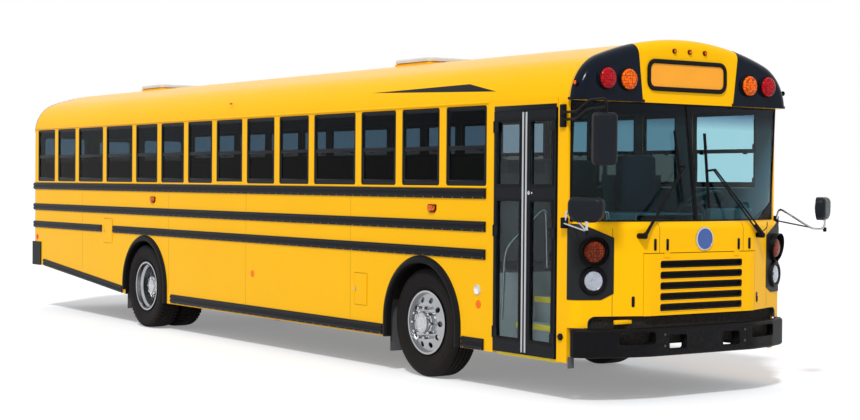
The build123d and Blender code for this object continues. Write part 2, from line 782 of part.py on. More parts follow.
rear_inner_x = rear_outer_x - twin_spacing
rear_rims = rim(-rear_outer_x, rear_axle, twin_spacing / 2) + rim(-rear_inner_x, rear_axle, -twin_spacing / 2)
rear_rims += rod_x(hub_radius + 20, -rear_outer_x - 40, -700, rear_axle, axle_z)
rear_rims -= rod_x(spindle_radius + 10 + running_gap, -995, -699, rear_axle, axle_z)
rear_tyres = [tyre(-rear_outer_x, rear_axle), tyre(-rear_inner_x, rear_axle)]
node("front_rim_right", front_rim)
node("front_rim_left", mirrored(front_rim))
node("front_tyre_right", front_tyre)
node("front_tyre_left", mirrored(front_tyre))
node("rear_rims_right", rear_rims)
node("rear_rims_left", mirrored(rear_rims))
node("rear_tyres_right", rear_tyres)
node("rear_tyres_left", [mirrored(part) for part in rear_tyres])

# ---------------------------------------------------------------- seats and driving controls
seat_wide = 950
seat_aisle_x = half_width - wall - 6 - seat_wide
cushion_z, cushion_deep, cushion_thick = 1375, 400, 120
back_top, back_thick = 2060, 90
rows_right = [1960 + 724 * row for row in range(14)]
rows_left = [2290 + 724 * row for row in range(13)]
cushions, frames = [], []
for side, rows in ((-1, rows_right), (1, rows_left)):
    x0, x1 = seat_aisle_x, seat_aisle_x + seat_wide
    rail_x = (seat_aisle_x + 75, seat_aisle_x + 105)
    supports = [
        block((rail_x[0] - 20, rail_x[1] + 20), (rows[0] - 60, rows[-1] + 420), (floor_top, floor_top + 12))
    ]
    for y in rows:
        soft = rounded((x0, x1), (y, y + cushion_deep), (cushion_z, cushion_z + cushion_thick), Axis.X, 40)
        back = rounded(
            (x0, x1), (y + cushion_deep - 10, y + cushion_deep - 10 + back_thick), (cushion_z + 20, back_top),
            Axis.X, 35,
        )
        seat = soft + back
        cushions.append(mirrored(seat) if side < 0 else seat)
        for leg_y in (y + 40, y + cushion_deep - 60):
            supports.append(block(rail_x, (leg_y, leg_y + 30), (floor_top + 12, cushion_z - 30)))
        supports.append(block(
            (x0 + 20, x1 + 4), (y + 30, y + cushion_deep - 30), (cushion_z - 30, cushion_z)))
    whole = fused(supports)
    frames.append(mirrored(whole) if side < 0 else whole)
node("seat_cushions", cushions)
node("seat_frames", frames)

driver_x, driver_y = 760, 1180
driver_seat = rounded(
    (driver_x - 240, driver_x + 240), (driver_y, driver_y + 460), (1390, 1500), Axis.Z, 60)
driver_seat += rounded(
    (driver_x - 230, driver_x + 230), (driver_y + 430, driver_y + 550), (1420, 2130), Axis.Y, 70)
driver_base = block((driver_x - 180, driver_x + 180), (driver_y + 60, driver_y + 400), (floor_top, 1390))
node("driver_seat", driver_seat + driver_base)

dash_outline = [
    (-380, 345), (1150, 345), (1150, 420), (1050, 530), (480, 530), (430, 395), (-380, 395),
]
dash = plan_plate(dash_outline, 1330, 1500)
dash += block((1100, 1150), (345, 900), (floor_top, 1330))
dash += block((420, 500), (345, 420), (floor_top, 1330))
# The steering wheel turns on its leaning column, in a sleeve that the dashboard carries
wheel_y, wheel_z, wheel_radius, wheel_tilt = 800, 1620, 230, -35
column = Pos(driver_x, wheel_y, wheel_z) * Rot(wheel_tilt, 0, 0)
steering = column * (
    Torus(wheel_radius, 15) + Cylinder(55, 40) + Box(2 * wheel_radius, 28, 12)
    + Pos(0, 0, -170) * Cylinder(25, 300)
)
node("steering_wheel", steering)
sleeve_x = (driver_x - 45, driver_x + 45)
sleeve = block(sleeve_x, (500, 690), (1370, 1470)) + block(sleeve_x, (500, 530), (1330, 1470))
sleeve -= column * Pos(0, 0, -250) * Cylinder(31, 600)
node("dashboard", dash + sleeve)

barriers = []
for side, y, x0 in ((-1, 1530, 430), (1, 1760, 430)):
    panel_wall = block((x0, half_width - wall - 6), (y, y + 30), (floor_top + 90, 1900))
    for x in (x0 + 15, half_width - wall - 60):
        panel_wall += block((x, x + 30), (y, y + 30), (floor_top, 2000 if x < 600 else 1200))
    barriers.append(mirrored(panel_wall) if side < 0 else panel_wall)
node("barriers", barriers)

# ---------------------------------------------------------------- entry door
meet_y = 879
leaf_low, leaf_high = door_low + 8, door_high - 8
leaf_spans = {
    "entry_door_front": (door_front + 2, meet_y - 6),
    "entry_door_rear": (meet_y + 6, door_rear - 8),
}
leaf_lights = [(472, 1668), (1795, 2350)]
leaf_stile = 40
meeting_stile = 62
hinge_x = -leaf_outer - 8
for name, (front, rear) in leaf_spans.items():
    leaf = block((-leaf_outer, -leaf_outer + leaf_thick), (front, rear), (leaf_low, leaf_high))
    opens_front = name == "entry_door_front"
    glass_front = front + (leaf_stile if opens_front else meeting_stile)
    glass_rear = rear - (meeting_stile if opens_front else leaf_stile)
    panes = []
    for z0, z1 in leaf_lights:
        through = (-leaf_outer - 1, -leaf_outer + leaf_thick + 1)
        leaf -= rounded(through, (glass_front, glass_rear), (z0, z1), Axis.X, 25)
        pane_x = -leaf_outer + 15
        panes.append(rounded(
            (pane_x, pane_x + glass_thick), (glass_front + 1, glass_rear - 1), (z0 + 1, z1 - 1), Axis.X, 24))
    hinge_y = front if opens_front else rear
    inward = 1 if opens_front else -1
    for z in (520, 1400, 2300):
        leaf += rod_z(8, hinge_x + 4, hinge_y + inward * 4, z - 50, z + 50)
        leaf += block(
            (-leaf_outer - 6, -leaf_outer), sorted((hinge_y + inward * 4, hinge_y + inward * 60)),
            (z - 40, z + 40),
        )
    node(name, leaf)
    node(name.replace("door", "glass"), panes)

# ---------------------------------------------------------------- bumpers
bumper_low, bumper_high = 384, 622
bumper_nose, bumper_end_y = -48, 262
bumper_edge = 24
bumper_front = [
    (-1228, bumper_end_y), (-1228, 222), (-1140, 125), (-895, 20), (-600, bumper_nose),
    (600, bumper_nose), (895, 20), (1140, 125), (1228, 222), (1228, bumper_end_y),
]
bumper_bends = [0, 30, 250, 300, 500, 500, 300, 250, 30, 0]
bumper_back = [
    (1166, bumper_end_y + 1), (1166, 245), (1090, 175), (860, 82), (590, 20),
    (-590, 20), (-860, 82), (-1090, 175), (-1166, 245), (-1166, bumper_end_y + 1),
]
bumper = extrude(rounded_outline(bumper_front, bumper_bends), amount=bumper_high - bumper_low, dir=(0, 0, 1))
front_rims = bumper.edges().filter_by(Plane.XY).sort_by(Axis.Y)[:-2]
bumper = Pos(0, 0, bumper_low) * fillet(front_rims, bumper_edge)
bumper -= plan_plate(bumper_back, bumper_low - 1, bumper_high + 1)
for side in (-1, 1):
    tow = sorted((side * 212, side * 412))
    slot = sorted((side * 568, side * 905))
    bumper -= rounded(tow, (-100, 100), (440, 560), Axis.Y, 20)
    bumper -= rounded(slot, (-100, 160), (490, 592), Axis.Y, 24)
    bumper += block(
        sorted((side * 416, side * rail_out)), (15, frame_front + 4), (bumper_low + 20, bumper_high - 10))
    bumper += block(sorted((side * (rail_out - 10), side * (rail_out + 30))), (15, 200), (440, bumper_high))
node("front_bumper", bumper)

rear_bumper_low, rear_bumper_high = 609, 938
rear_bumper = block((-1212, 1212), (body_rear + 2, body_rear + 55), (rear_bumper_low, rear_bumper_high))
rear_bumper += block((-1232, -1212), (11735, body_rear + 40), (rear_bumper_low, rear_bumper_high))
rear_bumper += block((1212, 1232), (11735, body_rear + 40), (rear_bumper_low, rear_bumper_high))
rear_bumper -= block((-1219, 1219), (11700, body_rear + 1), (0, 2000))
rear_bumper = chamfer(rear_bumper.faces().sort_by(Axis.Y)[-1].edges().filter_by(Axis.X), 12)
node("rear_bumper", rear_bumper)

# ---------------------------------------------------------------- lamps
lamp_deep = 22
cheek_lamps = [
    # distance from the centre line, height, radius: turn lamp, headlamp
    (1062, 1257, 90),
    (1066, 1016, 88),
]
header_lamps = [944, 711]
header_lamp_z, header_lamp_radius = 2684, 84
front_lamps = []
for x, z, radius in cheek_lamps:
    cheek_y = (x - flat_half) * tan(cheek_angle)
    turned_face = Pos(x, cheek_y, z) * Rot(0, 0, 21.8) * Rot(90, 0, 0)
    front_lamps += both(turned_face * Pos(0, 0, lamp_deep / 2) * Cylinder(radius, lamp_deep))
for x in header_lamps:
    front_lamps += both(rod_y(header_lamp_radius, x, header_front - 26, header_front, header_lamp_z))
marker_x = (-179, 0, 179)
for x in marker_x:
    front_lamps.append(block((x - 35, x + 35), (header_front - 18, header_front), (2930, 2960)))
node("front_lamps", front_lamps)

rear_lamps = []
tail_units = [
    # x, z, radius
    (944, 2600, 84), (711, 2600, 84), (1070, 1560, 88), (1070, 1270, 60), (850, 1560, 88),
]
for x, z, radius in tail_units:
    rear_lamps += both(rod_y(radius, x, body_rear, body_rear + 30, z))
for x in marker_x:
    rear_lamps.append(block((x - 35, x + 35), (body_rear, body_rear + 22), (2880, 2910)))
node("rear_lamps", rear_lamps)

# ---------------------------------------------------------------- mirrors
arm_radius = 11
mirrors = []
head_corner, head_edge = 40, 30
head = rounded((-100, 100), (-45, 35), (-210, 210), Axis.Y, head_corner)
head = fillet(head.faces().sort_by(Axis.Y)[0].edges(), head_edge)
head_turn = 27
mirror_place = (-1345, -270, 2168)
upper_arm = [
    (-1232, 385, 2400), (-1265, 160, 2398), (-1310, -45, 2485), (-1345, -285, 2485), (-1345, -285, 2340),
]
lower_arm = [(-1232, 365, 2339), (-1265, 163, 2340), (-1312, -30, 2413), (-1345, -285, 2416)]
right_mirror = Pos(*mirror_place) * Rot(0, 0, -head_turn) * head
right_mirror += tube(upper_arm, [60, 60, 30], arm_radius) + tube(lower_arm, [60, 60], arm_radius)
right_mirror += block((-half_width - 26, -half_width), (345, 410), (2277, 2466))
mirrors.append(right_mirror)

driver_mirror_place = (1375, 560, 2005)
left_mirror = Pos(*driver_mirror_place) * Rot(0, 0, head_turn) * head
for z in (1850, 2160):
    left_mirror += rod_x(arm_radius, half_width, 1375, 560, z)
mirrors.append(left_mirror)

# Wide-angle mirrors: a D-shaped bowl that faces the driver, on an arm that rises, dips and rises again
cross_x, cross_y, cross_z = 1357, -83, 1607
bowl_corners = [(-152, 102), (152, 102), (152, -103), (-152, -103)]
bowl_radii = [60, 60, 95, 95]
bowl_deep, bowl_edge, lens_bulge = 85, 45, 28
cross_arm = [
    (1250, 330, 1470), (1252, 290, 1606), (1321, -50, 1424), (1397, -122, 1424), (1397, -122, 1580),
]
cross_arm_bends = [30, 60, 25]
cross_strut = [(1262, 330, 1490), (1320, 0, 1440)]
bowl = fillet(
    extrude(Plane.XZ * rounded_outline(bowl_corners, bowl_radii), amount=bowl_deep, dir=(0, -1, 0))
    .faces().sort_by(Axis.Y)[0].edges(), bowl_edge)
lens = scale(Sphere(1), by=(140, lens_bulge, 92)) & block((-150, 150), (-1, lens_bulge), (-100, 100))
bowl += lens
for side, facing in ((-1, -59), (1, 30)):
    arm = tube([(side * x, y, z) for x, y, z in cross_arm], cross_arm_bends, arm_radius)
    arm += rod_between(*[(side * x, y, z) for x, y, z in cross_strut], arm_radius - 3)
    hinge = block(sorted((side * half_width, side * 1275)), (310, 352), (1445, 1535))
    mirrors.append(Pos(side * cross_x, cross_y, cross_z) * Rot(0, 0, facing) * bowl + arm + hinge)
node("mirrors", mirrors)

# ---------------------------------------------------------------- stop arm on the left side
stop_y, stop_z, stop_size = 2140, 1560, 228
stop_x = half_width + 52
arm_turn = [radians(22.5 + 45 * corner) for corner in range(8)]
octagon = [
    (stop_y + 330 + stop_size / cos(radians(22.5)) * cos(a), stop_z + stop_size / cos(radians(22.5)) * sin(a))
    for a in arm_turn
]
stop_arm = side_plate(octagon, stop_x, stop_x + 14)
stop_arm += block((stop_x - 10, stop_x + 14), (stop_y, stop_y + 130), (stop_z - 60, stop_z + 60))
stop_arm += rod_z(14, stop_x - 4, stop_y, stop_z - 60, stop_z + 60)
node("stop_arm", stop_arm)
stop_base = block((half_width, half_width + 24), (stop_y - 60, stop_y + 60), (stop_z - 60, stop_z + 60))
for z0, z1 in ((stop_z - 84, stop_z - 64), (stop_z + 64, stop_z + 84)):
    stop_base += block((half_width, stop_x + 12), (stop_y - 30, stop_y + 20), (z0, z1))
stop_base += block((half_width, half_width + 24), (stop_y - 60, stop_y + 60), (stop_z - 84, stop_z + 84))
node("stop_arm_bracket", stop_base)
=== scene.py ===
import json
from collections import defaultdict
from math import cos, pi, radians, sin, tan

import bmesh
import bpy
from mathutils import Matrix, Vector


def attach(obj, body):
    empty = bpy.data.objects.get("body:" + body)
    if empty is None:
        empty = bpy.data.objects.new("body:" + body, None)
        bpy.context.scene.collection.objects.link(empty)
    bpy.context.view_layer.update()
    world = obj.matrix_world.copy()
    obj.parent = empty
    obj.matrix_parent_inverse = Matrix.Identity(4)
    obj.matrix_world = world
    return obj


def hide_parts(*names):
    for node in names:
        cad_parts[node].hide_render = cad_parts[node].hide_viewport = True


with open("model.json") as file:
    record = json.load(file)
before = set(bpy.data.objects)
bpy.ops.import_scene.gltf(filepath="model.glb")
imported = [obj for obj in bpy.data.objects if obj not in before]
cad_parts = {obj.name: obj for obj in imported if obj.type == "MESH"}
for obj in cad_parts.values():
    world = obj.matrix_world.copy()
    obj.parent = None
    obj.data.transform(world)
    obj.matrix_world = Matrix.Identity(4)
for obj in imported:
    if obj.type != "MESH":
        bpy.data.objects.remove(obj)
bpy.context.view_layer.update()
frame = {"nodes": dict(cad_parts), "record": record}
scene = bpy.context.scene
scene.view_settings.view_transform = "Standard"

# Pieces are drawn with y measured backwards from the face of the grille, x towards the driver's side
# and z up from the ground. placePiece moves them by grilleY into the frame.
grilleY = -5.875
toFrame = Matrix.Translation((0, grilleY, 0))
halfWidth = 1.219
bodyRear = 12.0


# shader nodes, where an input is a plain value or another node's output
def feedNode(tree, node, inputs):
    for key, value in inputs.items():
        if isinstance(value, bpy.types.NodeSocket):
            tree.links.new(value, node.inputs[key])
        else:
            node.inputs[key].default_value = value


def addNode(tree, kind, inputs=None, **settings):
    node = tree.nodes.new("ShaderNode" + kind)
    for name, value in settings.items():
        setattr(node, name, value)
    feedNode(tree, node, inputs or {})
    return node


def mathNode(tree, operation, *values):
    return addNode(tree, "Math", dict(enumerate(values)), operation=operation).outputs[0]


def rangeNode(tree, value, low, high, newLow, newHigh):
    limits = {"Value": value, "From Min": low, "From Max": high, "To Min": newLow, "To Max": newHigh}
    return addNode(tree, "MapRange", limits).outputs["Result"]


def mixColor(tree, share, first, second):
    return addNode(tree, "Mix", {0: share, 6: first, 7: second}, data_type="RGBA").outputs[2]


def noiseNode(tree, vector, scale, detail=3.0, rough=0.5):
    inputs = {"Vector": vector, "Scale": scale, "Detail": detail, "Roughness": rough}
    return addNode(tree, "TexNoise", inputs).outputs[0]


def objectPlace(tree):
    return addNode(tree, "TexCoord").outputs["Object"]


def heightAt(tree, vector):
    return addNode(tree, "SeparateXYZ", {0: vector}).outputs["Z"]


def newMaterial(name, inputs):
    material = bpy.data.materials.new(name)
    material.use_nodes = True
    tree = material.node_tree
    shader = tree.nodes["Principled BSDF"]
    feedNode(tree, shader, inputs)
    return material, tree, shader


def showShader(tree, output):
    tree.links.new(output, tree.nodes["Material Output"].inputs[0])


# camera, sun, background and floor
view = {
    "place": (-9.771, -9.847, 1.820),
    "yaw": 35.173,
    "pitch": -1.008,
    "roll": 0.446,
    "focalPixels": 1611.0,
    "pictureWide": 860,
    "sensorWide": 36,
    "farthest": 300,
}
light = {
    "sunFrom": (-0.62, -0.60, 0.95),
    "sunStrength": 2.1,
    "sunSize": 6.0,
    "fill": (0.62, 0.64, 0.68),
    "floorColor": (0.80, 0.80, 0.80),
    "floorRough": 0.9,
    "floorLift": 0.25,
    "floorHalf": 90.0,
    "floorDrop": 0.002,
}


def makeCamera():
    yaw, pitch, roll = (radians(view[key]) for key in ("yaw", "pitch", "roll"))
    ahead = Vector((sin(yaw) * cos(pitch), cos(yaw) * cos(pitch), sin(pitch)))
    level = Vector((cos(yaw), -sin(yaw), 0))
    rise = level.cross(ahead)
    right = level * cos(roll) + rise * sin(roll)
    up = rise * cos(roll) - level * sin(roll)
    data = bpy.data.cameras.new("camera")
    data.sensor_width = view["sensorWide"]
    data.lens = view["focalPixels"] / view["pictureWide"] * data.sensor_width
    data.clip_end = view["farthest"]
    camera = bpy.data.objects.new("camera", data)
    turn = Matrix((right, up, -ahead)).transposed().to_4x4()
    camera.matrix_world = toFrame @ Matrix.Translation(view["place"]) @ turn
    scene.collection.objects.link(camera)
    scene.camera = camera


# 1 for a ray from the camera, a mirror or glass, which sees the background and floor white
def sightRay(tree):
    path = addNode(tree, "LightPath").outputs
    other = mathNode(tree, "MAXIMUM", path["Is Glossy Ray"], path["Is Transmission Ray"])
    return mathNode(tree, "MAXIMUM", path["Is Camera Ray"], other)


def makeWorld():
    world = bpy.data.worlds.new("studio")
    world.use_nodes = True
    tree = world.node_tree
    tree.nodes.clear()
    soft = addNode(tree, "Background", {"Color": (*light["fill"], 1)})
    white = addNode(tree, "Background", {"Color": (1, 1, 1, 1)})
    mix = addNode(tree, "MixShader", {0: sightRay(tree), 1: soft.outputs[0], 2: white.outputs[0]})
    addNode(tree, "OutputWorld", {0: mix.outputs[0]})
    scene.world = world
    lamp = bpy.data.lights.new("sun", "SUN")
    lamp.energy = light["sunStrength"]
    lamp.angle = radians(light["sunSize"])
    sun = bpy.data.objects.new("sun", lamp)
    sun.rotation_mode = "QUATERNION"
    sun.rotation_quaternion = Vector(light["sunFrom"]).to_track_quat("Z", "Y")
    scene.collection.objects.link(sun)


def makeFloor():
    bm = bmesh.new()
    bmesh.ops.create_grid(bm, x_segments=1, y_segments=1, size=light["floorHalf"])
    bmesh.ops.translate(bm, vec=(0, 0, -light["floorDrop"]), verts=bm.verts)
    mesh = bpy.data.meshes.new("floorPlane")
    bm.to_mesh(mesh)
    bm.free()
    floor = bpy.data.objects.new("floorPlane", mesh)
    material, tree, shader = newMaterial("floorPale", {
        "Base Color": (*light["floorColor"], 1), "Roughness": light["floorRough"], "Specular IOR Level": 0.0})
    glow = addNode(tree, "Emission", {"Strength": light["floorLift"]})
    both = addNode(tree, "AddShader", {0: shader.outputs[0], 1: glow.outputs[0]})
    mix = addNode(tree, "MixShader", {0: sightRay(tree), 1: shader.outputs[0], 2: both.outputs[0]})
    showShader(tree, mix.outputs[0])
    mesh.materials.append(material)
    scene.collection.objects.link(floor)


makeCamera()
makeWorld()
makeFloor()
print("stage done")


def newGroup(name, inputs, outputs):
    group = bpy.data.node_groups.new(name, "ShaderNodeTree")
    for label, kind, value in inputs:
        socket = group.interface.new_socket(label, in_out="INPUT", socket_type="NodeSocket" + kind)
        socket.default_value = value
    for label, kind in outputs:
        group.interface.new_socket(label, in_out="OUTPUT", socket_type="NodeSocket" + kind)
    return group, group.nodes.new("NodeGroupInput").outputs, group.nodes.new("NodeGroupOutput")


roadDust = {
    "color": (0.30, 0.26, 0.20),
    "heights": (0.25, 1.25),  # thick below the first, none above the second
    "facing": (0.35, 1.0),
    "onTop": 0.6,
    "speckle": (0.35, 0.75, 0.15, 1.0),
    "dulls": 0.5,
}


# patchy colour, road dust on low and upward faces, and a roughness that follows both
def makeWeathering():
    group, given, result = newGroup("weathering", [
        ("Colour", "Color", (0.5, 0.5, 0.5, 1)), ("Patch", "Float", 1.0), ("Variation", "Float", 0.05),
        ("Dust", "Float", 0.1), ("Dust Colour", "Color", (*roadDust["color"], 1)),
        ("Roughness", "Float", 0.4), ("Spread", "Float", 0.08),
    ], [("Colour", "Color"), ("Roughness", "Float")])
    place = objectPlace(group)
    patch = noiseNode(group, place, given["Patch"], 4.0)
    fine = noiseNode(group, place, mathNode(group, "MULTIPLY", given["Patch"], 14.0), 5.0, 0.65)
    swing = mathNode(group, "MULTIPLY", mathNode(group, "SUBTRACT", patch, 0.5), given["Variation"])
    level = mathNode(group, "MULTIPLY_ADD", swing, 4.0, 1.0)
    scaled = addNode(group, "VectorMath", {0: given["Colour"], "Scale": level}, operation="SCALE").outputs[0]
    facing = heightAt(group, addNode(group, "NewGeometry").outputs["Normal"])
    low = rangeNode(group, heightAt(group, place), *roadDust["heights"], 1.0, 0.0)
    top = rangeNode(group, facing, *roadDust["facing"], 0.0, roadDust["onTop"])
    where = mathNode(group, "MAXIMUM", low, top)
    speckle = rangeNode(group, fine, *roadDust["speckle"])
    share = mathNode(group, "MULTIPLY", mathNode(group, "MULTIPLY", where, speckle), given["Dust"])
    spread = mathNode(group, "SUBTRACT", fine, 0.5)
    rough = mathNode(group, "MULTIPLY_ADD", spread, given["Spread"], given["Roughness"])
    feedNode(group, result, {
        "Colour": mixColor(group, share, scaled, given["Dust Colour"]),
        "Roughness": mathNode(group, "MULTIPLY_ADD", share, roadDust["dulls"], rough)})
    return group


# fine grain as a height, stretched along the axes
def makeGrain():
    group, given, result = newGroup(
        "grain", [("Scale", "Float", 100.0), ("Stretch", "Vector", (1, 1, 1))], [("Height", "Float")])
    factors = {0: objectPlace(group), 1: given["Stretch"]}
    stretched = addNode(group, "VectorMath", factors, operation="MULTIPLY").outputs[0]
    feedNode(group, result, {"Height": noiseNode(group, stretched, given["Scale"], 2.0)})
    return group


# a mask on sharp outside edges, broken up by noise
def makeEdgeWear():
    group, given, result = newGroup(
        "edgeWear", [("Amount", "Float", 0.5), ("Scale", "Float", 30.0)], [("Mask", "Float")])
    place = objectPlace(group)
    edge = rangeNode(group, addNode(group, "NewGeometry").outputs["Pointiness"], 0.52, 0.58, 0.0, 1.0)
    broken = rangeNode(group, noiseNode(group, place, given["Scale"], 4.0), 0.45, 0.6, 0.0, 1.0)
    worn = mathNode(group, "MULTIPLY", edge, broken)
    feedNode(group, result, {"Mask": mathNode(group, "MULTIPLY", worn, given["Amount"])})
    return group


weathering, grain, edgeWear = makeWeathering(), makeGrain(), makeEdgeWear()

# colour, roughness, variation, patch scale, dust, grain scale, grain depth, specular level, other settings
finishTable = {
    "schoolYellow": ((0.95, 0.485, 0.002), 0.24, 0.02, 0.8, 0.03, 160, 0.0004, 0.05,
                     {"dustColor": (0.62, 0.34, 0.06)}),
    "blackPaint": ((0.007, 0.008, 0.011), 0.34, 0.10, 1.5, 0.02, 220, 0.0006, 0.08, {}),
    "bezelGrey": ((0.012, 0.013, 0.014), 0.42, 0.08, 3.0, 0.02, 600, 0.0008, 0.12, {}),
    "mirrorBlack": ((0.008, 0.010, 0.014), 0.35, 0.08, 4.0, 0.01, 700, 0.0008, 0.12, {}),
    "capBlack": ((0.003, 0.006, 0.013), 0.14, 0.08, 1.2, 0.01, 160, 0.0003, 0.1, {}),
    "satinBlack": ((0.004, 0.004, 0.005), 0.40, 0.12, 2.0, 0.01, 500, 0.001, 0.07,
                   {"wear": 0.08, "wearColor": (0.05, 0.05, 0.05)}),
    "chassisBlack": ((0.012, 0.012, 0.012), 0.62, 0.2, 3.0, 0.2, 260, 0.002, 0.15, {}),
    "rubber": ((0.005, 0.005, 0.006), 0.44, 0.12, 3.0, 0.02, 700, 0.0015, 0.07, {}),
    "tyreRubber": ((0.009, 0.008, 0.008), 0.62, 0.2, 4.0, 0.22, 600, 0.002, 0.08,
                   {"dustColor": (0.045, 0.032, 0.026)}),
    "polishedAlloy": ((0.40, 0.41, 0.43), 0.12, 0.05, 5.0, 0.12, 300, 0.0006, 0.5, {"metallic": 1.0}),
    "chrome": ((0.52, 0.53, 0.55), 0.07, 0.03, 6.0, 0.05, 200, 0.0002, 0.5, {"metallic": 1.0}),
    "mirrorGlass": ((0.86, 0.88, 0.90), 0.02, 0.01, 3.0, 0.02, 200, 0.0001, 0.5, {"metallic": 1.0}),
    "reflector": ((0.42, 0.44, 0.48), 0.16, 0.10, 30.0, 0.0, 60, 0.002, 0.5, {"metallic": 0.9}),
    "flapGrey": ((0.075, 0.080, 0.090), 0.6, 0.15, 4.0, 0.3, 500, 0.002, 0.2,
                 {"dustColor": (0.20, 0.18, 0.16)}),
    "doorAlloy": ((0.50, 0.51, 0.53), 0.35, 0.05, 5.0, 0.05, 400, 0.0008, 0.5,
                  {"metallic": 0.85, "stretch": (1, 1, 0.02)}),
    "castSteel": ((0.06, 0.06, 0.065), 0.6, 0.25, 6.0, 0.25, 180, 0.004, 0.25, {"metallic": 0.5}),
    "hotSteel": ((0.34, 0.28, 0.23), 0.5, 0.25, 4.0, 0.3, 200, 0.003, 0.4, {"metallic": 0.8}),
    "cabinGrey": ((0.075, 0.078, 0.085), 0.6, 0.08, 4.0, 0.05, 900, 0.0015, 0.4, {}),
    "liningGrey": ((0.085, 0.125, 0.150), 0.6, 0.05, 3.0, 0.03, 600, 0.001, 0.2, {}),
    "hatchWhite": ((0.62, 0.61, 0.57), 0.45, 0.06, 3.0, 0.3, 500, 0.001, 0.4, {}),
    "floorRubber": ((0.045, 0.046, 0.048), 0.6, 0.15, 5.0, 0.3, 500, 0.002, 0.35, {}),
    "stepNosing": ((1.0, 0.74, 0.01), 0.5, 0.10, 6.0, 0.15, 400, 0.002, 0.2, {}),
    "stepPlate": ((0.28, 0.30, 0.31), 0.5, 0.12, 6.0, 0.2, 400, 0.002, 0.4, {}),
    "seatVinyl": ((0.020, 0.034, 0.060), 0.42, 0.12, 5.0, 0.03, 420, 0.004, 0.5, {}),
    "signFace": ((0.92, 0.36, 0.010), 0.5, 0.05, 3.0, 0.0, 300, 0.0005, 0.4, {}),
    "signRed": ((0.55, 0.010, 0.012), 0.38, 0.05, 3.0, 0.05, 500, 0.0006, 0.5, {}),
    "signWhite": ((0.78, 0.78, 0.78), 0.4, 0.04, 3.0, 0.05, 500, 0.0006, 0.5, {}),
    "badgeBlue": ((0.030, 0.085, 0.30), 0.25, 0.06, 9.0, 0.0, 300, 0.0002, 0.5, {}),
    "seamShade": ((0.16, 0.066, 0.004), 0.6, 0.1, 3.0, 0.1, 300, 0.0005, 0.2, {}),
    "deepShade": ((0.008, 0.008, 0.008), 0.9, 0.3, 4.0, 0.2, 300, 0.002, 0.1, {}),
    "reflectorOrange": ((0.95, 0.17, 0.003), 0.3, 0.05, 9.0, 0.0, 900, 0.002, 0.12, {}),
    "reflectorRed": ((0.80, 0.012, 0.006), 0.3, 0.05, 9.0, 0.0, 900, 0.002, 0.12, {}),
}
# lower tint, then the tint above a height, over a blend
glassTable = {
    # the side panes' lighter, bluer tint above the meeting rail is a painted sky reflection on the upper
    # sashes
    "sideGlass": {"tint": (0.09, 0.085, 0.08), "upper": (0.19, 0.27, 0.33), "height": 2.115, "ior": 1.09},
    "driverGlass": {"tint": (0.80, 0.88, 0.90)},
    "frontGlass": {"tint": (0.41, 0.72, 0.79), "upper": (0.08, 0.17, 0.29), "height": 2.36, "blend": 0.07},
    "doorGlass": {"tint": (0.66, 0.74, 0.77)},
    "clearLens": {"tint": (0.97, 0.98, 1.0)},
}
lensTable = {
    "redLens": (0.42, 0.002, 0.008),
    "amberLens": (0.86, 0.12, 0.001),
    "turnLens": (0.20, 0.024, 0.004),
}
lensLook = {
    "ribs": 46.0, "uneven": 0.35, "rough": 0.12, "flute": 0.001, "specular": 0.10, "coat": 0.08,
    "coatRough": 0.03,
    "shade": (0.05, 0.6, 1.9, 0.25),  # distances in a flute, and the brightness at each
}


def makeFinish(name, color, rough, variation, patch, dust, grainScale, grainDepth, specular, metallic=0.0,
               dustColor=roadDust["color"], stretch=(1, 1, 1), wear=0.0, wearColor=(0.5, 0.5, 0.5)):
    material, tree, shader = newMaterial(name, {"Metallic": metallic, "Specular IOR Level": specular})
    age = addNode(tree, "Group", node_tree=weathering)
    feedNode(tree, age, {"Colour": (*color, 1), "Patch": patch, "Variation": variation, "Dust": dust,
                         "Dust Colour": (*dustColor, 1), "Roughness": rough})
    surface = age.outputs["Colour"]
    if wear:
        rubbed = addNode(tree, "Group", node_tree=edgeWear)
        rubbed.inputs["Amount"].default_value = wear
        surface = mixColor(tree, rubbed.outputs["Mask"], surface, (*wearColor, 1))
    rub = addNode(tree, "Group", node_tree=grain)
    feedNode(tree, rub, {"Scale": grainScale, "Stretch": stretch})
    bump = addNode(tree, "Bump", {"Distance": grainDepth, "Height": rub.outputs["Height"]})
    feedNode(tree, shader, {"Base Color": surface, "Roughness": age.outputs["Roughness"],
                            "Normal": bump.outputs[0]})
    return material


# tinted glass that lets the lamps through
def makeGlass(name, tint, upper=None, height=0.0, blend=0.02, ior=1.2):
    material, tree, shader = newMaterial(name, {
        "Base Color": (*tint, 1), "Transmission Weight": 1.0, "Roughness": 0.0, "IOR": ior,
        "Specular IOR Level": 0.3})
    clearing = addNode(tree, "BsdfTransparent", {"Color": (*tint, 1)})
    if upper:
        share = rangeNode(tree, heightAt(tree, objectPlace(tree)), height - blend, height + blend, 0.0, 1.0)
        color = mixColor(tree, share, (*tint, 1), (*upper, 1))
        feedNode(tree, shader, {"Base Color": color})
        feedNode(tree, clearing, {"Color": color})
    shadow = addNode(tree, "LightPath").outputs["Is Shadow Ray"]
    mix = addNode(tree, "MixShader", {0: shadow, 1: shader.outputs[0], 2: clearing.outputs[0]})
    showShader(tree, mix.outputs[0])
    return material
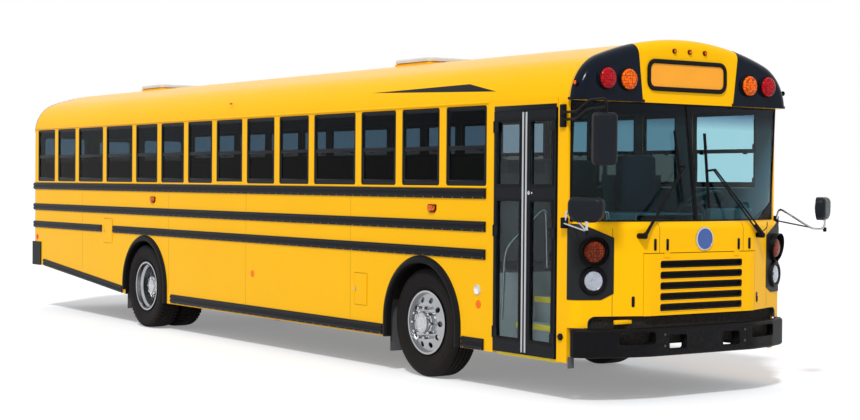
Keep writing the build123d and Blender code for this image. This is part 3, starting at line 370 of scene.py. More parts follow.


# a moulded lens with fine flutes, whose colour is brightened and darkened in patches across each flute:
# painted glints and shade of the reflector behind it
def makeLens(name, color):
    material, tree, shader = newMaterial(name, {
        "Specular IOR Level": lensLook["specular"], "Coat Weight": lensLook["coat"],
        "Coat Roughness": lensLook["coatRough"]})
    facets = addNode(tree, "TexVoronoi", {"Vector": objectPlace(tree), "Scale": lensLook["ribs"],
                                          "Randomness": lensLook["uneven"]}, distance="CHEBYCHEV")
    inFlute = facets.outputs["Distance"]
    # painted highlight and shade: the lens colour is scaled brighter and darker across each flute
    shade = rangeNode(tree, inFlute, *lensLook["shade"])
    tint = addNode(tree, "VectorMath", {0: color, "Scale": shade}, operation="SCALE")
    rough = rangeNode(tree, inFlute, 0.0, 1.0, lensLook["rough"], lensLook["rough"] + 0.1)
    bump = addNode(tree, "Bump", {"Distance": lensLook["flute"], "Strength": 1.0, "Height": inFlute})
    feedNode(tree, shader, {"Base Color": tint.outputs[0], "Roughness": rough, "Normal": bump.outputs[0]})
    return material


finishes = {name: makeFinish(name, *row[:-1], **row[-1]) for name, row in finishTable.items()}
finishes.update({name: makeGlass(name, **look) for name, look in glassTable.items()})
finishes.update({name: makeLens(name, color) for name, color in lensTable.items()})

slotFinish = {
    "paint_yellow": "schoolYellow", "paint_black": "blackPaint", "frame_black": "chassisBlack",
    "trim_rubber": "rubber", "glass_tint": "sideGlass", "wheel_alloy": "polishedAlloy",
    "tyre_black": "tyreRubber", "steel_dark": "castSteel", "exhaust_steel": "hotSteel",
    "seat_vinyl": "seatVinyl", "cabin_plastic": "cabinGrey", "floor_rubber": "floorRubber", "lens": "redLens",
    "sign_red": "signRed",
}
nodeFinish = {
    "windshield": "frontGlass", "entry_glass_front": "doorGlass", "entry_glass_rear": "doorGlass",
    "roof_hatch_front": "hatchWhite", "roof_hatch_rear": "hatchWhite", "stepwell": "stepPlate",
    "front_bumper": "satinBlack", "rear_bumper": "satinBlack", "mirrors": "satinBlack",
    "mud_flaps": "flapGrey",
}
for part in frame["record"]["subparts"]:
    wanted = nodeFinish.get(part["node"], slotFinish[part["material_slot"]])
    for slot in frame["nodes"][part["node"]].material_slots:
        slot.material = finishes[wanted]
print("finishes done")

bevelWay = dict(affect="EDGES", profile=0.5, material=-1)


def softenPart(bm, edge, steps=2, sharper=30):
    corners = [e for e in bm.edges if e.is_manifold and e.calc_face_angle() > radians(sharper)]
    bmesh.ops.bevel(bm, geom=corners, offset=edge, segments=steps, clamp_overlap=True, **bevelWay)


def blockPart(xs, ys, zs, edge=0.003, steps=2):
    bm = bmesh.new()
    bmesh.ops.create_cube(bm, size=1)
    bmesh.ops.scale(bm, vec=(xs[1] - xs[0], ys[1] - ys[0], zs[1] - zs[0]), verts=bm.verts)
    bmesh.ops.translate(bm, vec=[(pair[0] + pair[1]) / 2 for pair in (xs, ys, zs)], verts=bm.verts)
    if edge:
        softenPart(bm, edge, steps)
    return bm


def rodPart(start, end, radius, sides=20, edge=0.0, endRadius=None):
    start, end = Vector(start), Vector(end)
    bm = bmesh.new()
    bmesh.ops.create_cone(bm, cap_ends=True, segments=sides, radius1=radius,
                          radius2=radius if endRadius is None else endRadius, depth=(end - start).length)
    if edge:
        softenPart(bm, edge, 2, 50)
    turn = (end - start).to_track_quat("Z", "Y").to_matrix().to_4x4()
    bmesh.ops.transform(bm, matrix=Matrix.Translation((start + end) / 2) @ turn, verts=bm.verts)
    return bm


# spins (radius, height) points round Z; a point with radius 0 closes the end
def turnedPart(profile, steps=32):
    bm = bmesh.new()
    points = [bm.verts.new((radius, 0, height)) for radius, height in profile]
    edges = [bm.edges.new(pair) for pair in zip(points, points[1:])]
    if profile[0][0] > 0 and profile[-1][0] > 0:
        edges.append(bm.edges.new((points[-1], points[0])))
    bmesh.ops.spin(bm, geom=points + edges, cent=(0, 0, 0), axis=(0, 0, 1), angle=2 * pi, steps=steps,
                   use_merge=True)
    bmesh.ops.remove_doubles(bm, verts=bm.verts, dist=1e-6)
    bmesh.ops.recalc_face_normals(bm, faces=bm.faces)
    return bm


# a solid of revolution from the axis at foot, round the rim points, to the axis at head
def discPart(foot, rim, head, steps=32):
    return turnedPart([(0.0, foot), *rim, (0.0, head)], steps)


def studPart(radius, crown, high):
    return discPart(-0.001, [(radius, -0.001), (crown, high - 0.001)], high, 8)


def onlyVerts(geom):
    return [v for v in geom if isinstance(v, bmesh.types.BMVert)]


def outlineFace(bm, outline):
    return bm.faces.new([bm.verts.new((x, y, 0)) for x, y in outline])


def raiseFaces(bm, faces, thick, edge, steps):
    raised = bmesh.ops.extrude_face_region(bm, geom=faces)["geom"]
    bmesh.ops.translate(bm, vec=(0, 0, thick), verts=onlyVerts(raised))
    bmesh.ops.recalc_face_normals(bm, faces=bm.faces)
    if edge:
        softenPart(bm, edge, steps, 60)


# a flat outline in the local XY plane, raised along Z
def platePart(outline, thick, edge=0.0, steps=2):
    bm = bmesh.new()
    raiseFaces(bm, [outlineFace(bm, outline)], thick, edge, steps)
    return bm


# a rim of even width inside an outline, raised along Z
def rimPart(outline, width, thick, edge=0.002):
    bm = bmesh.new()
    face = outlineFace(bm, outline)
    bm.normal_update()
    rim = bmesh.ops.inset_region(bm, faces=[face], thickness=width, use_even_offset=True,
                                 use_boundary=True)["faces"]
    bmesh.ops.delete(bm, geom=[face], context="FACES")
    raiseFaces(bm, rim, thick, edge, 1)
    return bm


# round a corner of an outline: the corner's place, its radius and the angle where the arc starts
def cornerArc(x, y, radius, start, steps):
    centre = (x - radius if start in (0, 270) else x + radius, y - radius if start in (0, 90) else y + radius)
    angles = [radians(start + 90 * step / steps) for step in range(steps + 1)]
    return [(centre[0] + radius * cos(angle), centre[1] + radius * sin(angle)) for angle in angles]


def roundedOutline(xs, ys, radius, steps=5):
    corners = ((xs[1], ys[1], 0), (xs[0], ys[1], 90), (xs[0], ys[0], 180), (xs[1], ys[0], 270))
    return [point for x, y, start in corners for point in cornerArc(x, y, radius, start, steps)]


def ringPart(xs, ys, radius, width, thick, edge=0.002):
    return rimPart(roundedOutline(xs, ys, radius), width, thick, edge)


def grown(span, by):
    return span[0] - by, span[1] + by


# a round bar along straight runs with rounded bends
def tubePart(points, radius, sides=12, bends=0.06):
    curve = bpy.data.curves.new("run", "CURVE")
    curve.dimensions = "3D"
    curve.bevel_depth = radius
    curve.bevel_resolution = sides // 4
    curve.use_fill_caps = True
    path = [Vector(points[0])]
    bendSteps = 5
    for before, corner, after in zip(points, points[1:], points[2:]):
        corner = Vector(corner)
        back, on = Vector(before) - corner, Vector(after) - corner
        cut = min(bends, back.length * 0.45, on.length * 0.45)
        first, last = corner + back.normalized() * cut, corner + on.normalized() * cut
        for step in range(bendSteps + 1):
            t = step / bendSteps
            path.append(first * (1 - t) ** 2 + corner * 2 * t * (1 - t) + last * t ** 2)
    path.append(Vector(points[-1]))
    line = curve.splines.new("POLY")
    line.points.add(len(path) - 1)
    for point, place in zip(line.points, path):
        point.co = (*place, 1)
    maker = bpy.data.objects.new("run", curve)
    mesh = bpy.data.meshes.new_from_object(maker)
    bm = bmesh.new()
    bm.from_mesh(mesh)
    bpy.data.objects.remove(maker)
    bpy.data.curves.remove(curve)
    bpy.data.meshes.remove(mesh)
    bmesh.ops.remove_doubles(bm, verts=bm.verts, dist=1e-6)
    bmesh.ops.recalc_face_normals(bm, faces=bm.faces)
    return bm


def shift(x=0.0, y=0.0, z=0.0):
    return Matrix.Translation((x, y, z))


def spun(degrees, axis="Z"):
    return Matrix.Rotation(radians(degrees), 4, axis)


def flipped(axis):
    return Matrix.Scale(-1, 4, axis)


identity = Matrix()
acrossMirror, throughMirror = flipped((1, 0, 0)), flipped((0, 0, 1))
bothSides = (identity, acrossMirror)
# local x across, y up and z outwards from the front and the rear
onFront = Matrix(((1, 0, 0, 0), (0, 0, -1, 0), (0, 1, 0, 0), (0, 0, 0, 1)))
onRear = Matrix(((-1, 0, 0, 0), (0, 0, 1, 0), (0, 1, 0, 0), (0, 0, 0, 1)))


# local x back along the bus, y up and z outwards, on the side -1 or 1
def onSide(side):
    return Matrix(((0, 0, side, 0), (1, 0, 0, 0), (0, 1, 0, 0), (0, 0, 0, 1)))


# local x outwards, y up and z back along the bus, climbing by rise
def alongSide(side, out, fore, low, rise=0.0):
    return Matrix(((side, 0, 0, side * out), (0, 0, 1, fore), (0, 1, rise, low), (0, 0, 0, 1)))


# puts a copy of the part into bm at each place, and frees the part
def addPart(bm, part, *places):
    mesh = bpy.data.meshes.new("part")
    part.to_mesh(mesh)
    part.free()
    for place in places or (identity,):
        firstVert, firstFace = len(bm.verts), len(bm.faces)
        bm.from_mesh(mesh)
        bm.verts.ensure_lookup_table()
        bmesh.ops.transform(bm, matrix=place, verts=bm.verts[firstVert:])
        if place.determinant() < 0:
            bm.faces.ensure_lookup_table()
            bmesh.ops.reverse_faces(bm, faces=bm.faces[firstFace:])
    bpy.data.meshes.remove(mesh)


def addBlocks(bm, place, *rows):
    for row in rows:
        addPart(bm, blockPart(*row), place)


def placePiece(name, bm, finish, slot, body="bus", replaces=(), smooth=35):
    bmesh.ops.transform(bm, matrix=toFrame, verts=bm.verts)
    mesh = bpy.data.meshes.new(name)
    bm.to_mesh(mesh)
    bm.free()
    mesh.materials.append(finishes[finish])
    mesh.shade_smooth()
    mesh.set_sharp_from_angle(angle=radians(smooth))
    piece = bpy.data.objects.new(name, mesh)
    scene.collection.objects.link(piece)
    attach(piece, body)
    if replaces:
        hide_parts(*replaces)
    return piece


# places each named piece with its row of finish, slot, body and replaced nodes
def placePieces(parts, rows):
    for name, row in rows.items():
        placePiece(name, parts[name], *row)


# a padded piece, rounded by one level of subdivision
def placePad(name, bm, replaces=()):
    piece = placePiece(name, bm, "seatVinyl", "seat_vinyl", replaces=replaces)
    rounder = piece.modifiers.new("rounder", "SUBSURF")
    rounder.levels = rounder.render_levels = 1


def nodeCopy(nodeName):
    bm = bmesh.new()
    source = frame["nodes"][nodeName]
    bm.from_mesh(source.data)
    bmesh.ops.transform(bm, matrix=toFrame.inverted() @ source.matrix_world, verts=bm.verts)
    bmesh.ops.remove_doubles(bm, verts=bm.verts, dist=1e-5)
    return bm


# keeps the faces that keep(centre, normal) picks
def keepFaces(bm, keep):
    dropped = [f for f in bm.faces if not keep(f.calc_center_median(), f.normal)]
    bmesh.ops.delete(bm, geom=dropped, context="FACES")


def thickenSkin(bm, lift, sink):
    bmesh.ops.dissolve_degenerate(bm, edges=bm.edges, dist=1e-5)
    for v in bm.verts:
        v.normal_update()
    for v, normal in [(v, v.normal.copy()) for v in bm.verts]:
        v.co += normal * lift
    bmesh.ops.solidify(bm, geom=bm.faces[:], thickness=lift + sink)
    bmesh.ops.recalc_face_normals(bm, faces=bm.faces)
    return bm


# a node's outer skin between cuts, (point, direction kept), as a thin shell raised by lift
def skinPatch(nodeName, cuts, lift, sink=0.004, inside=(0, 3.0, 1.2)):
    bm = nodeCopy(nodeName)
    keepFaces(bm, lambda centre, normal: normal.dot(centre - Vector(inside)) > 0.02)
    for point, direction in cuts:
        bmesh.ops.bisect_plane(bm, geom=bm.verts[:] + bm.edges[:] + bm.faces[:], plane_co=point,
                               plane_no=direction, clear_inner=True)
    return thickenSkin(bm, lift, sink)


# a thin skin over the faces of a node that keep(centre, normal) picks
def liningPatch(nodeName, keep, lift=0.003):
    bm = nodeCopy(nodeName)
    keepFaces(bm, keep)
    return thickenSkin(bm, lift, 0.002)


windows = {
    "row": "NNWWNNNNNNWNNN",  # narrow and wide windows of the right side, from the rear
    "widths": {"N": 0.611, "W": 0.793},
    "gap": 0.1025,
    "rear": 11.864,
    "driver": [(1.560, 2.042), (0.520, 1.340)],
    "low": 1.785,
    "high": 2.496,
    "meeting": 2.125,
    "frameWide": 0.024,
    "frameOut": 1.2165,
    "frameDeep": 0.028,
    "sills": [(8.0, 11.98), (1.42, 7.998)],
    "sillHeights": (1.768, 1.785),
    "sillOut": (1.214, 1.226),
    "latchInset": 0.13,
    "dripProfile": [(0, 0), (0.012, 0.004), (0.014, 0.016), (0, 0.026)],
    "dripFore": 1.40,
    "dripLow": 2.506,
    "pieces": {
        "window_frames": ("blackPaint", "paint_black"),
        "window_sashes": ("blackPaint", "paint_black"),
        "window_meeting_bars": ("blackPaint", "paint_black"),
        "window_sills": ("schoolYellow", "paint_yellow"),
    },
}


def windowSpans():
    spans, rear = [], windows["rear"]
    for kind in windows["row"]:
        fore = rear - windows["widths"][kind]
        spans.append((fore, rear))
        rear = fore - windows["gap"]
    return spans


rightSpans = windowSpans()
leftSpans = rightSpans[:-1] + windows["driver"]


def makeWindows():
    parts = defaultdict(bmesh.new)
    low, high, meeting = windows["low"], windows["high"], windows["meeting"]
    wide, deep = windows["frameWide"], windows["frameDeep"]
    # height span, width of the rim, thickness and place of the lower and the upper sash
    sashes = [((low + wide, meeting + 0.012), 0.020, 0.013, 1.1995),
              ((meeting - 0.012, high - wide), 0.017, 0.010, 1.1955)]
    for side, spans in ((-1, rightSpans), (1, leftSpans)):
        out = onSide(side)
        for fore, aft in spans:
            rim = ringPart(grown((fore, aft), -0.001), grown((low, high), -0.001), 0.027, wide, deep)
            addPart(parts["window_frames"], rim, out @ shift(z=windows["frameOut"] - deep))
            inner = grown((fore, aft), -wide)
            for heights, rimWide, thick, place in sashes:
                addPart(parts["window_sashes"], ringPart(inner, heights, 0.012, rimWide, thick, 0.0015),
                        out @ shift(z=place))
            latches = [(grown((y, y), 0.02), (meeting - 0.03, meeting + 0.004), (1.170, 1.190))
                       for y in grown((fore, aft), -windows["latchInset"])]
            addBlocks(parts["window_meeting_bars"], out,
                      (inner, grown((meeting, meeting), 0.019), (1.187, 1.2115)),
                      (inner, (low + wide + 0.018, low + wide + 0.030), (1.206, 1.215), 0.002), *latches)
    for side in (-1, 1):
        sills = parts["window_sills"]
        ledges = [(run, windows["sillHeights"], windows["sillOut"]) for run in windows["sills"]]
        addBlocks(sills, onSide(side), *ledges,
                  (grown(rightSpans[7], -0.01), (1.786, 1.803), (1.208, 1.221)))
        drip = platePart(windows["dripProfile"], bodyRear - 0.03 - windows["dripFore"], 0.002)
        addPart(sills, drip, alongSide(side, 1.2185, windows["dripFore"], windows["dripLow"]))
    placePieces(parts, windows["pieces"])


makeWindows()
print("windows done")

rails = {
    "depth": 0.022,
    # fore, aft, low, high, rise, and how far the rivets stand out
    "runs": [
        (1.434, 12.0, 1.672, 1.763, 0.0, 0.01364), (1.434, 12.0, 1.381, 1.473, 0.0, 0.01364),
        (1.434, 9.312, 1.137, 1.228, 0.0, 0.01364), (9.667, 12.0, 1.137, 1.228, 0.0, 0.01364),
        (3.062, 7.642, 0.348, 0.451, 0.0, 0.01364), (1.450, 1.776, 0.338, 0.440, 0.0, 0.01364),
        (9.018, 11.640, 0.383, 0.473, 0.230 / 2.622, 0.0136),
    ],
    # share of the depth and share of the height of each step of the profile
    "ribs": [(0.0, 0.45), (0.06, 0.62), (0.16, 0.66), (0.22, 1.0), (0.36, 1.0), (0.42, 0.60), (0.58, 0.60),
             (0.64, 1.0), (0.78, 1.0), (0.84, 0.66), (0.94, 0.62), (1.0, 0.45)],
    "rivet": [(0.0042, -0.002), (0.0042, 0.0), (0.0036, 0.0022), (0.0, 0.0034)],
    "rivetPitch": 0.152,
    "rivetInset": 0.03,
    "rivetUp": 0.009,
    "pieces": {
        "rails_ribbed": ("blackPaint", "paint_black", "bus", ["rub_rails"], 25),
        "rail_rivets": ("doorAlloy", "paint_black"),
    },
}


def railProfile(high):
    deep = rails["depth"]
    return [(0, 0)] + [(share * deep, up * high) for up, share in rails["ribs"]] + [(0, high)]


def makeRails():
    parts = defaultdict(bmesh.new)
    for side in (-1, 1):
        for fore, aft, low, high, rise, rivetOut in rails["runs"]:
            addPart(parts["rails_ribbed"], platePart(railProfile(high - low), aft - fore, 0.0015, 1),
                    alongSide(side, halfWidth - 0.0005, fore, low, rise))
            first, length = fore + rails["rivetInset"], aft - fore - 2 * rails["rivetInset"]
            gaps = max(2, round((aft - fore) / rails["rivetPitch"])) - 1
            spots = [first + length * index / gaps for index in range(gaps + 1)]
            addPart(parts["rail_rivets"], turnedPart(rails["rivet"], 8), *[
                onSide(side) @ shift(y, low + (y - fore) * rise + rails["rivetUp"], halfWidth + rivetOut)
                for y in spots])
    placePieces(parts, rails["pieces"])


makeRails()
print("rails done")

flares = {
    "axles": [(2.423, 0.335), (8.381, 0.4355)],  # axle and the foot of the rear leg
    "opening": 0.556,
    "centreHigh": 0.508,
    "foreLeg": 0.335,
    "lined": 0.60,
    # across from the opening's edge, and out from the side
    "profile": [(0.0, -0.020), (0.0, 0.012), (0.006, 0.026), (0.020, 0.030), (0.044, 0.026), (0.062, 0.014),
                (0.072, 0.0), (0.072, -0.004), (0.008, -0.006), (0.006, -0.020)],
}


# faces of the side panels that look into a wheel arch
def inArch(centre, normal):
    return abs(normal.x) < 0.3 and centre.z < 1.12 and any(
        abs(centre.y - axle) < flares["lined"]
        and normal.dot(Vector((0, axle - centre.y, flares["centreHigh"] - centre.z))) > 0.15
        for axle, _ in flares["axles"])


def makeFlares():
    bm = bmesh.new()
    for axle, rearLeg in flares["axles"]:
        for side in (-1, 1):
            part = bmesh.new()
            points = [part.verts.new((side * (halfWidth + out), flares["opening"] + across, 0))
                      for across, out in flares["profile"]]
            start = part.faces.new(points)
            swept = bmesh.ops.spin(part, geom=[start], cent=(0, 0, 0), axis=(1, 0, 0), angle=pi, steps=40)
            ends = [[start], [f for f in swept["geom_last"] if isinstance(f, bmesh.types.BMFace)]]
            for faces, low in zip(ends, (rearLeg, flares["foreLeg"])):
                leg = bmesh.ops.extrude_face_region(part, geom=faces)["geom"]
                bmesh.ops.delete(part, geom=faces, context="FACES_ONLY")
                bmesh.ops.translate(part, vec=(0, 0, low - flares["centreHigh"]), verts=onlyVerts(leg))
            bmesh.ops.remove_doubles(part, verts=part.verts, dist=1e-6)
            bmesh.ops.recalc_face_normals(part, faces=part.faces)
            addPart(bm, part, shift(y=axle, z=flares["centreHigh"]))
    for label in ("right", "left"):
        addPart(bm, liningPatch(f"side_panel_{label}", inArch))
    placePiece("flares_rubber", bm, "rubber", "trim_rubber", replaces=["arch_flares"], smooth=50)


makeFlares()
print("flares done")

wheels = {
    "frontX": 1.042, "rearX": 1.078, "twinSpacing": 0.320, "frontY": 2.423, "rearY": 8.381, "axleZ": 0.508,
    "tread": 0.5070, "treadBase": 0.4940, "pitches": 54, "studRing": 0.1429, "studs": 10,
    "frontDiscOut": 0.118,  # the front disc stands out from the wheel's middle, the rear one stands in
    "rearDiscIn": 0.160,
    # across from and to, share of the pitch and turn in pitches of each row of tread blocks
    "blocks": [(-0.111, -0.072, 0.66, 0.0), (-0.064, -0.026, 0.86, 0.5), (-0.019, 0.019, 0.90, 0.25),
               (0.026, 0.064, 0.86, 0.5), (0.072, 0.111, 0.66, 0.0)],
    "grooves": (-0.068, -0.023, 0.023, 0.068),
    # (radius, across) down a sidewall, from the bead to the shoulder
    "sidewall": [
        (0.287, -0.093), (0.300, -0.0955), (0.312, -0.103), (0.330, -0.118), (0.338, -0.1225),
        (0.344, -0.1215), (0.372, -0.132), (0.405, -0.1378), (0.412, -0.1372), (0.440, -0.1355),
        (0.446, -0.1368), (0.462, -0.1325), (0.480, -0.1220), (0.4945, -0.1080),
    ],
    "nut": [(0.0165, -0.004), (0.0165, 0.0), (0.0165, 0.030), (0.0145, 0.034), (0.0145, 0.058),
            (0.011, 0.064)],
    "dome": [(0.104, 0.110), (0.108, 0.116), (0.108, 0.126), (0.100, 0.132), (0.098, 0.150), (0.094, 0.158),
             (0.090, 0.160), (0.088, 0.174), (0.078, 0.181), (0.060, 0.1835), (0.058, 0.180), (0.030, 0.181),
             (0.028, 0.185)],
    "flange": [(0.112, 0.16), (0.117, 0.166), (0.117, 0.196), (0.112, 0.202), (0.086, 0.204), (0.082, 0.214),
               (0.052, 0.222)],
}


# places on a ring round local Z
def ringPlaces(count, radius=0.0, out=0.0, twist=0.0):
    return [spun((turn + twist) * 360 / count) @ shift(radius, 0, out) for turn in range(count)]


def acrossTyre(side):
    return [(radius, -across) for radius, across in reversed(side)]


def makeTyre():
    side, base, top, pitches = wheels["sidewall"], wheels["treadBase"], wheels["tread"], wheels["pitches"]
    bm = turnedPart(side + acrossTyre(side), 96)
    for low, high, share, twist in wheels["blocks"]:
        arc = 2 * pi / pitches * share * top
        block = blockPart((base - 0.004, top), (-arc / 2, arc / 2), (low, high), 0)
        for v in block.verts:
            if v.co.x > base:
                v.co.x -= 0.006 if abs(v.co.z) > 0.10 else 0
                v.co.z += 0.002
        addPart(bm, block, *ringPlaces(pitches, twist=twist))
    # shoulder lugs that run down onto the sidewall
    for face in (-1, 1):
        lug = blockPart((0.468, 0.4975), (-0.010, 0.010), (0.108, 0.1235), 0)
        for v in lug.verts:
            if v.co.x < 0.48:
                v.co.z += 0.006
        addPart(bm, lug, *[place @ Matrix.Scale(face, 4, (0, 0, 1)) for place in ringPlaces(pitches)])
    return bm


# a steer tyre, with plain ribs parted by grooves that run right round
def makeRibTyre():
    side, base, top = wheels["sidewall"][:-1], wheels["treadBase"] - 0.004, wheels["tread"]
    run = [(top - 0.007, -0.109), (top - 0.002, -0.100)]
    for middle in wheels["grooves"]:
        run += [(top, middle - 0.008), (top - 0.002, middle - 0.0055), (base, middle - 0.0035),
                (base, middle + 0.0035), (top - 0.002, middle + 0.0055), (top, middle + 0.008)]
    run += [(top - 0.002, 0.100), (top - 0.007, 0.109)]
    return turnedPart(side + run + acrossTyre(side), 96)


# local z points outwards from the middle of a wheel
def hubPlace(side, x, y):
    return shift(side * x, y, wheels["axleZ"]) @ onSide(side)


# nuts round a disc, the hub's cap and the small bolts on it
def addHub(bm, hub, discOut, cap, bolt, boltPlaces):
    nuts = ringPlaces(wheels["studs"], wheels["studRing"], discOut)
    addPart(bm, discPart(-0.004, wheels["nut"], 0.066, 14), *[hub @ place for place in nuts])
    addPart(bm, cap, hub)
    addPart(bm, bolt, *[hub @ place for place in boltPlaces])


def makeWheels():
    for side, label in ((-1, "right"), (1, "left")):
        parts = defaultdict(bmesh.new)
        rearX, rearY = wheels["rearX"], wheels["rearY"]
        frontHub = hubPlace(side, wheels["frontX"], wheels["frontY"])
        addPart(parts[f"tyre_front_{label}"], makeRibTyre(), frontHub)
        addPart(parts[f"tyres_rear_{label}"], makeTyre(), hubPlace(side, rearX, rearY),
                hubPlace(side, rearX - wheels["twinSpacing"], rearY))
        addHub(parts[f"hub_caps_front_{label}"], frontHub, wheels["frontDiscOut"],
               discPart(0.110, wheels["dome"], 0.186, 40),
               discPart(0.0, [(0.007, 0.0), (0.007, 0.004)], 0.006, 8), ringPlaces(6, 0.069, 0.1815))
        addHub(parts[f"hub_caps_rear_{label}"], hubPlace(side, rearX - wheels["rearDiscIn"], rearY), 0.0,
               discPart(0.16, wheels["flange"], 0.224, 40),
               discPart(0.0, [(0.010, 0.0), (0.010, 0.010)], 0.012, 6), ringPlaces(8, 0.099, 0.202))
        frontBody, rearBody = f"front_wheel_{label}", f"rear_wheels_{label}"
        placePieces(parts, {
            f"tyre_front_{label}": ("tyreRubber", "tyre_black", frontBody, [f"front_tyre_{label}"]),
            f"tyres_rear_{label}": ("tyreRubber", "tyre_black", rearBody, [f"rear_tyres_{label}"]),
            f"hub_caps_front_{label}": ("chrome", "wheel_alloy", frontBody),
            f"hub_caps_rear_{label}": ("chrome", "wheel_alloy", rearBody),
        })


makeWheels()
print("wheels done")


# a cut that keeps what lies past a place on one axis, towards 1 or -1
def cutAt(axis, place, towards):
    along = Vector([float(axis == name) for name in "xyz"])
    return along * place, along * towards


def lensPart(radius, deep, start=0.0, steps=40):
    rim = [(1.0, 0.0), (1.0, 0.35), (0.96, 0.52), (0.82, 0.76), (0.60, 0.92), (0.30, 0.99)]
    return discPart(start, [(radius * share, start + deep * up) for share, up in rim], start + deep, steps)


header = {
    "face": 0.178,
    "capFoot": Vector((0.534, 0, 2.521)),
    "capTop": Vector((0.587, 0, 2.946)),
    "capBack": 0.290,
    "ledge": [cutAt("x", -0.520, -1), cutAt("z", 2.522, -1), cutAt("y", 0.50, -1)],
    "sign": ((-0.490, 0.443), (2.600, 2.870)),
    "signGasket": (0.085, 0.038, 0.018, 0.006),  # corner, width, thickness and edge
    "signInset": 0.034,
    "signCorner": 0.055,
    "signThick": 0.006,
    "lamps": {"warning_red": 0.944, "warning_amber": 0.711},
    "lampZ": 2.684,
    "lens": (0.0855, 0.034, 0.022),  # radius, depth and start
    "lampBase": [(0.096, -0.004), (0.096, 0.006), (0.091, 0.012), (0.089, 0.026)],
    "markers": (-0.179, 0.0, 0.179),
    "markerZ": 2.945,
    "markerBase": [(0.021, -0.02), (0.021, 0.012), (0.015, 0.014)],
    "markerLens": (0.014, 0.014, 0.010, 20),
    "sideMarker": (0.235, 2.640, 1.222),
    "sideBase": [(0.022, 0.0), (0.022, 0.006)],
    "sideLens": (0.016, 0.012, 0.005, 16),
    "rivetZ": 2.520,
    "rivetRow": (-0.495, 0.066, 16),  # first, pitch and count
    "sideRivets": [(side * 0.545, z) for side in (-1, 1) for z in (2.62, 2.74, 2.86)],
    "rivet": (0.005, 0.004, 0.003),
    "pieces": {
        "header_caps": ("capBlack", "paint_black"),
        "sign_gasket": ("rubber", "trim_rubber"),
        "sign_face": ("signFace", "paint_yellow"),
        "warning_bases": ("satinBlack", "lens", "bus", ["front_lamps"]),
        "warning_red": ("redLens", "lens"),
        "warning_amber": ("amberLens", "lens"),
        "header_rivets": ("schoolYellow", "paint_yellow"),
    },
}


def makeHeader():
    parts = defaultdict(bmesh.new)
    up = header["capTop"] - header["capFoot"]
    capCuts = [(header["capFoot"], (up.z, 0, -up.x)), cutAt("y", header["capBack"], -1)]
    addPart(parts["header_caps"], skinPatch("front_header", capCuts, 0.003), *bothSides)
    addPart(parts["header_caps"], skinPatch("front_header", header["ledge"], 0.012), *bothSides)
    middle = onFront @ shift(z=-header["face"])
    signXs, signZs = header["sign"]
    addPart(parts["sign_gasket"], ringPart(signXs, signZs, *header["signGasket"]), middle)
    inset = -header["signInset"]
    signOutline = roundedOutline(grown(signXs, inset), grown(signZs, inset), header["signCorner"])
    addPart(parts["sign_face"], platePart(signOutline, header["signThick"]), middle)
    bases, amber = parts["warning_bases"], parts["warning_amber"]
    for name, x in header["lamps"].items():
        places = [middle @ shift(side * x, header["lampZ"]) for side in (-1, 1)]
        addPart(bases, discPart(-0.004, header["lampBase"], 0.026, 40), *places)
        addPart(parts[name], lensPart(*header["lens"]), *places)
    for x in header["markers"]:
        spot = middle @ shift(x, header["markerZ"])
        addPart(bases, discPart(-0.02, header["markerBase"], 0.014, 20), spot)
        addPart(amber, lensPart(*header["markerLens"]), spot)
    for side in (-1, 1):
        spot = onSide(side) @ shift(*header["sideMarker"])
        addPart(bases, discPart(0.0, header["sideBase"], 0.006, 16), spot)
        addPart(amber, lensPart(*header["sideLens"]), spot)
    first, pitch, count = header["rivetRow"]
    heads = [(first + pitch * index, header["rivetZ"]) for index in range(count)] + header["sideRivets"]
    addPart(parts["header_rivets"], studPart(*header["rivet"]), *[middle @ shift(*head) for head in heads])
    placePieces(parts, header["pieces"])


makeHeader()

nose = {
    "flatHalf": 0.620,
    "cheekTurn": radians(21.8),
    "turnLamp": (1.062, 1.257, 0.004),  # along the cheek, up and out
    "headLamp": (1.066, 1.016, 0.0),
    # three points of the bezel's slanted top, then the sheet's other cuts
    "bezelTop": [(-0.894, 0.109, 1.368), (-1.219, 0.362, 1.466), (-0.996, 0.150, 1.413)],
    "bezelCuts": [cutAt("x", -0.898, -1), cutAt("z", 0.858, 1), ((-0.902, 0, 0.908), (-0.050, 0, 0.098)),
                  cutAt("y", 0.322, -1)],
    "turnHood": (0.118, 0.062, 1.0, 0.45),  # inner radius, depth, and its share at the top and the foot
    "turnLens": (0.090, 0.040, 0.003),
    "bracket": ((-0.016, 0.016), (-0.150, -0.110), (-0.01, 0.020), 0.004),
    "turnBack": [(0.119, -0.06), (0.119, 0.0), (0.096, 0.004)],
    "headRing": [(0.081, -0.02), (0.120, -0.02), (0.120, 0.012), (0.110, 0.028), (0.090, 0.030),
                 (0.082, 0.024)],
    "bowl": [(0.090, -0.010), (0.090, 0.014), (0.080, 0.017), (0.076, 0.014), (0.060, 0.0095),
             (0.036, 0.0070), (0.016, 0.0065), (0.016, 0.0130)],
    "headLens": [(0.045, 0.026), (0.072, 0.020), (0.079, 0.016), (0.079, 0.019), (0.072, 0.0235),
                 (0.045, 0.030)],
    "seamHalf": 0.0022,
    "cheekSeam": -0.909,
    "cheekSeamHeights": (0.72, 1.445),
    "hoodSeam": -0.492,
    "hoodSeamLow": 1.240,
    "crossSeam": (1.238, 0.655),  # height and half width
    # across, up and high
    "latches": [(-0.542, 1.311, 0.100), (-0.403, 1.309, 0.100), (0.436, 1.304, 0.100), (0.567, 1.307, 0.100),
                (-0.739, 0.841, 0.090), (0.697, 0.832, 0.090)],
    "badge": (0.022, 0.001, 1.353),
    "badgeRing": [(0.086, 0.0), (0.101, 0.0), (0.101, 0.009), (0.096, 0.014), (0.088, 0.013)],
    "screws": [(x, z) for z in (1.39, 1.05, 0.752) for x in (0.71, 0.86)],
}
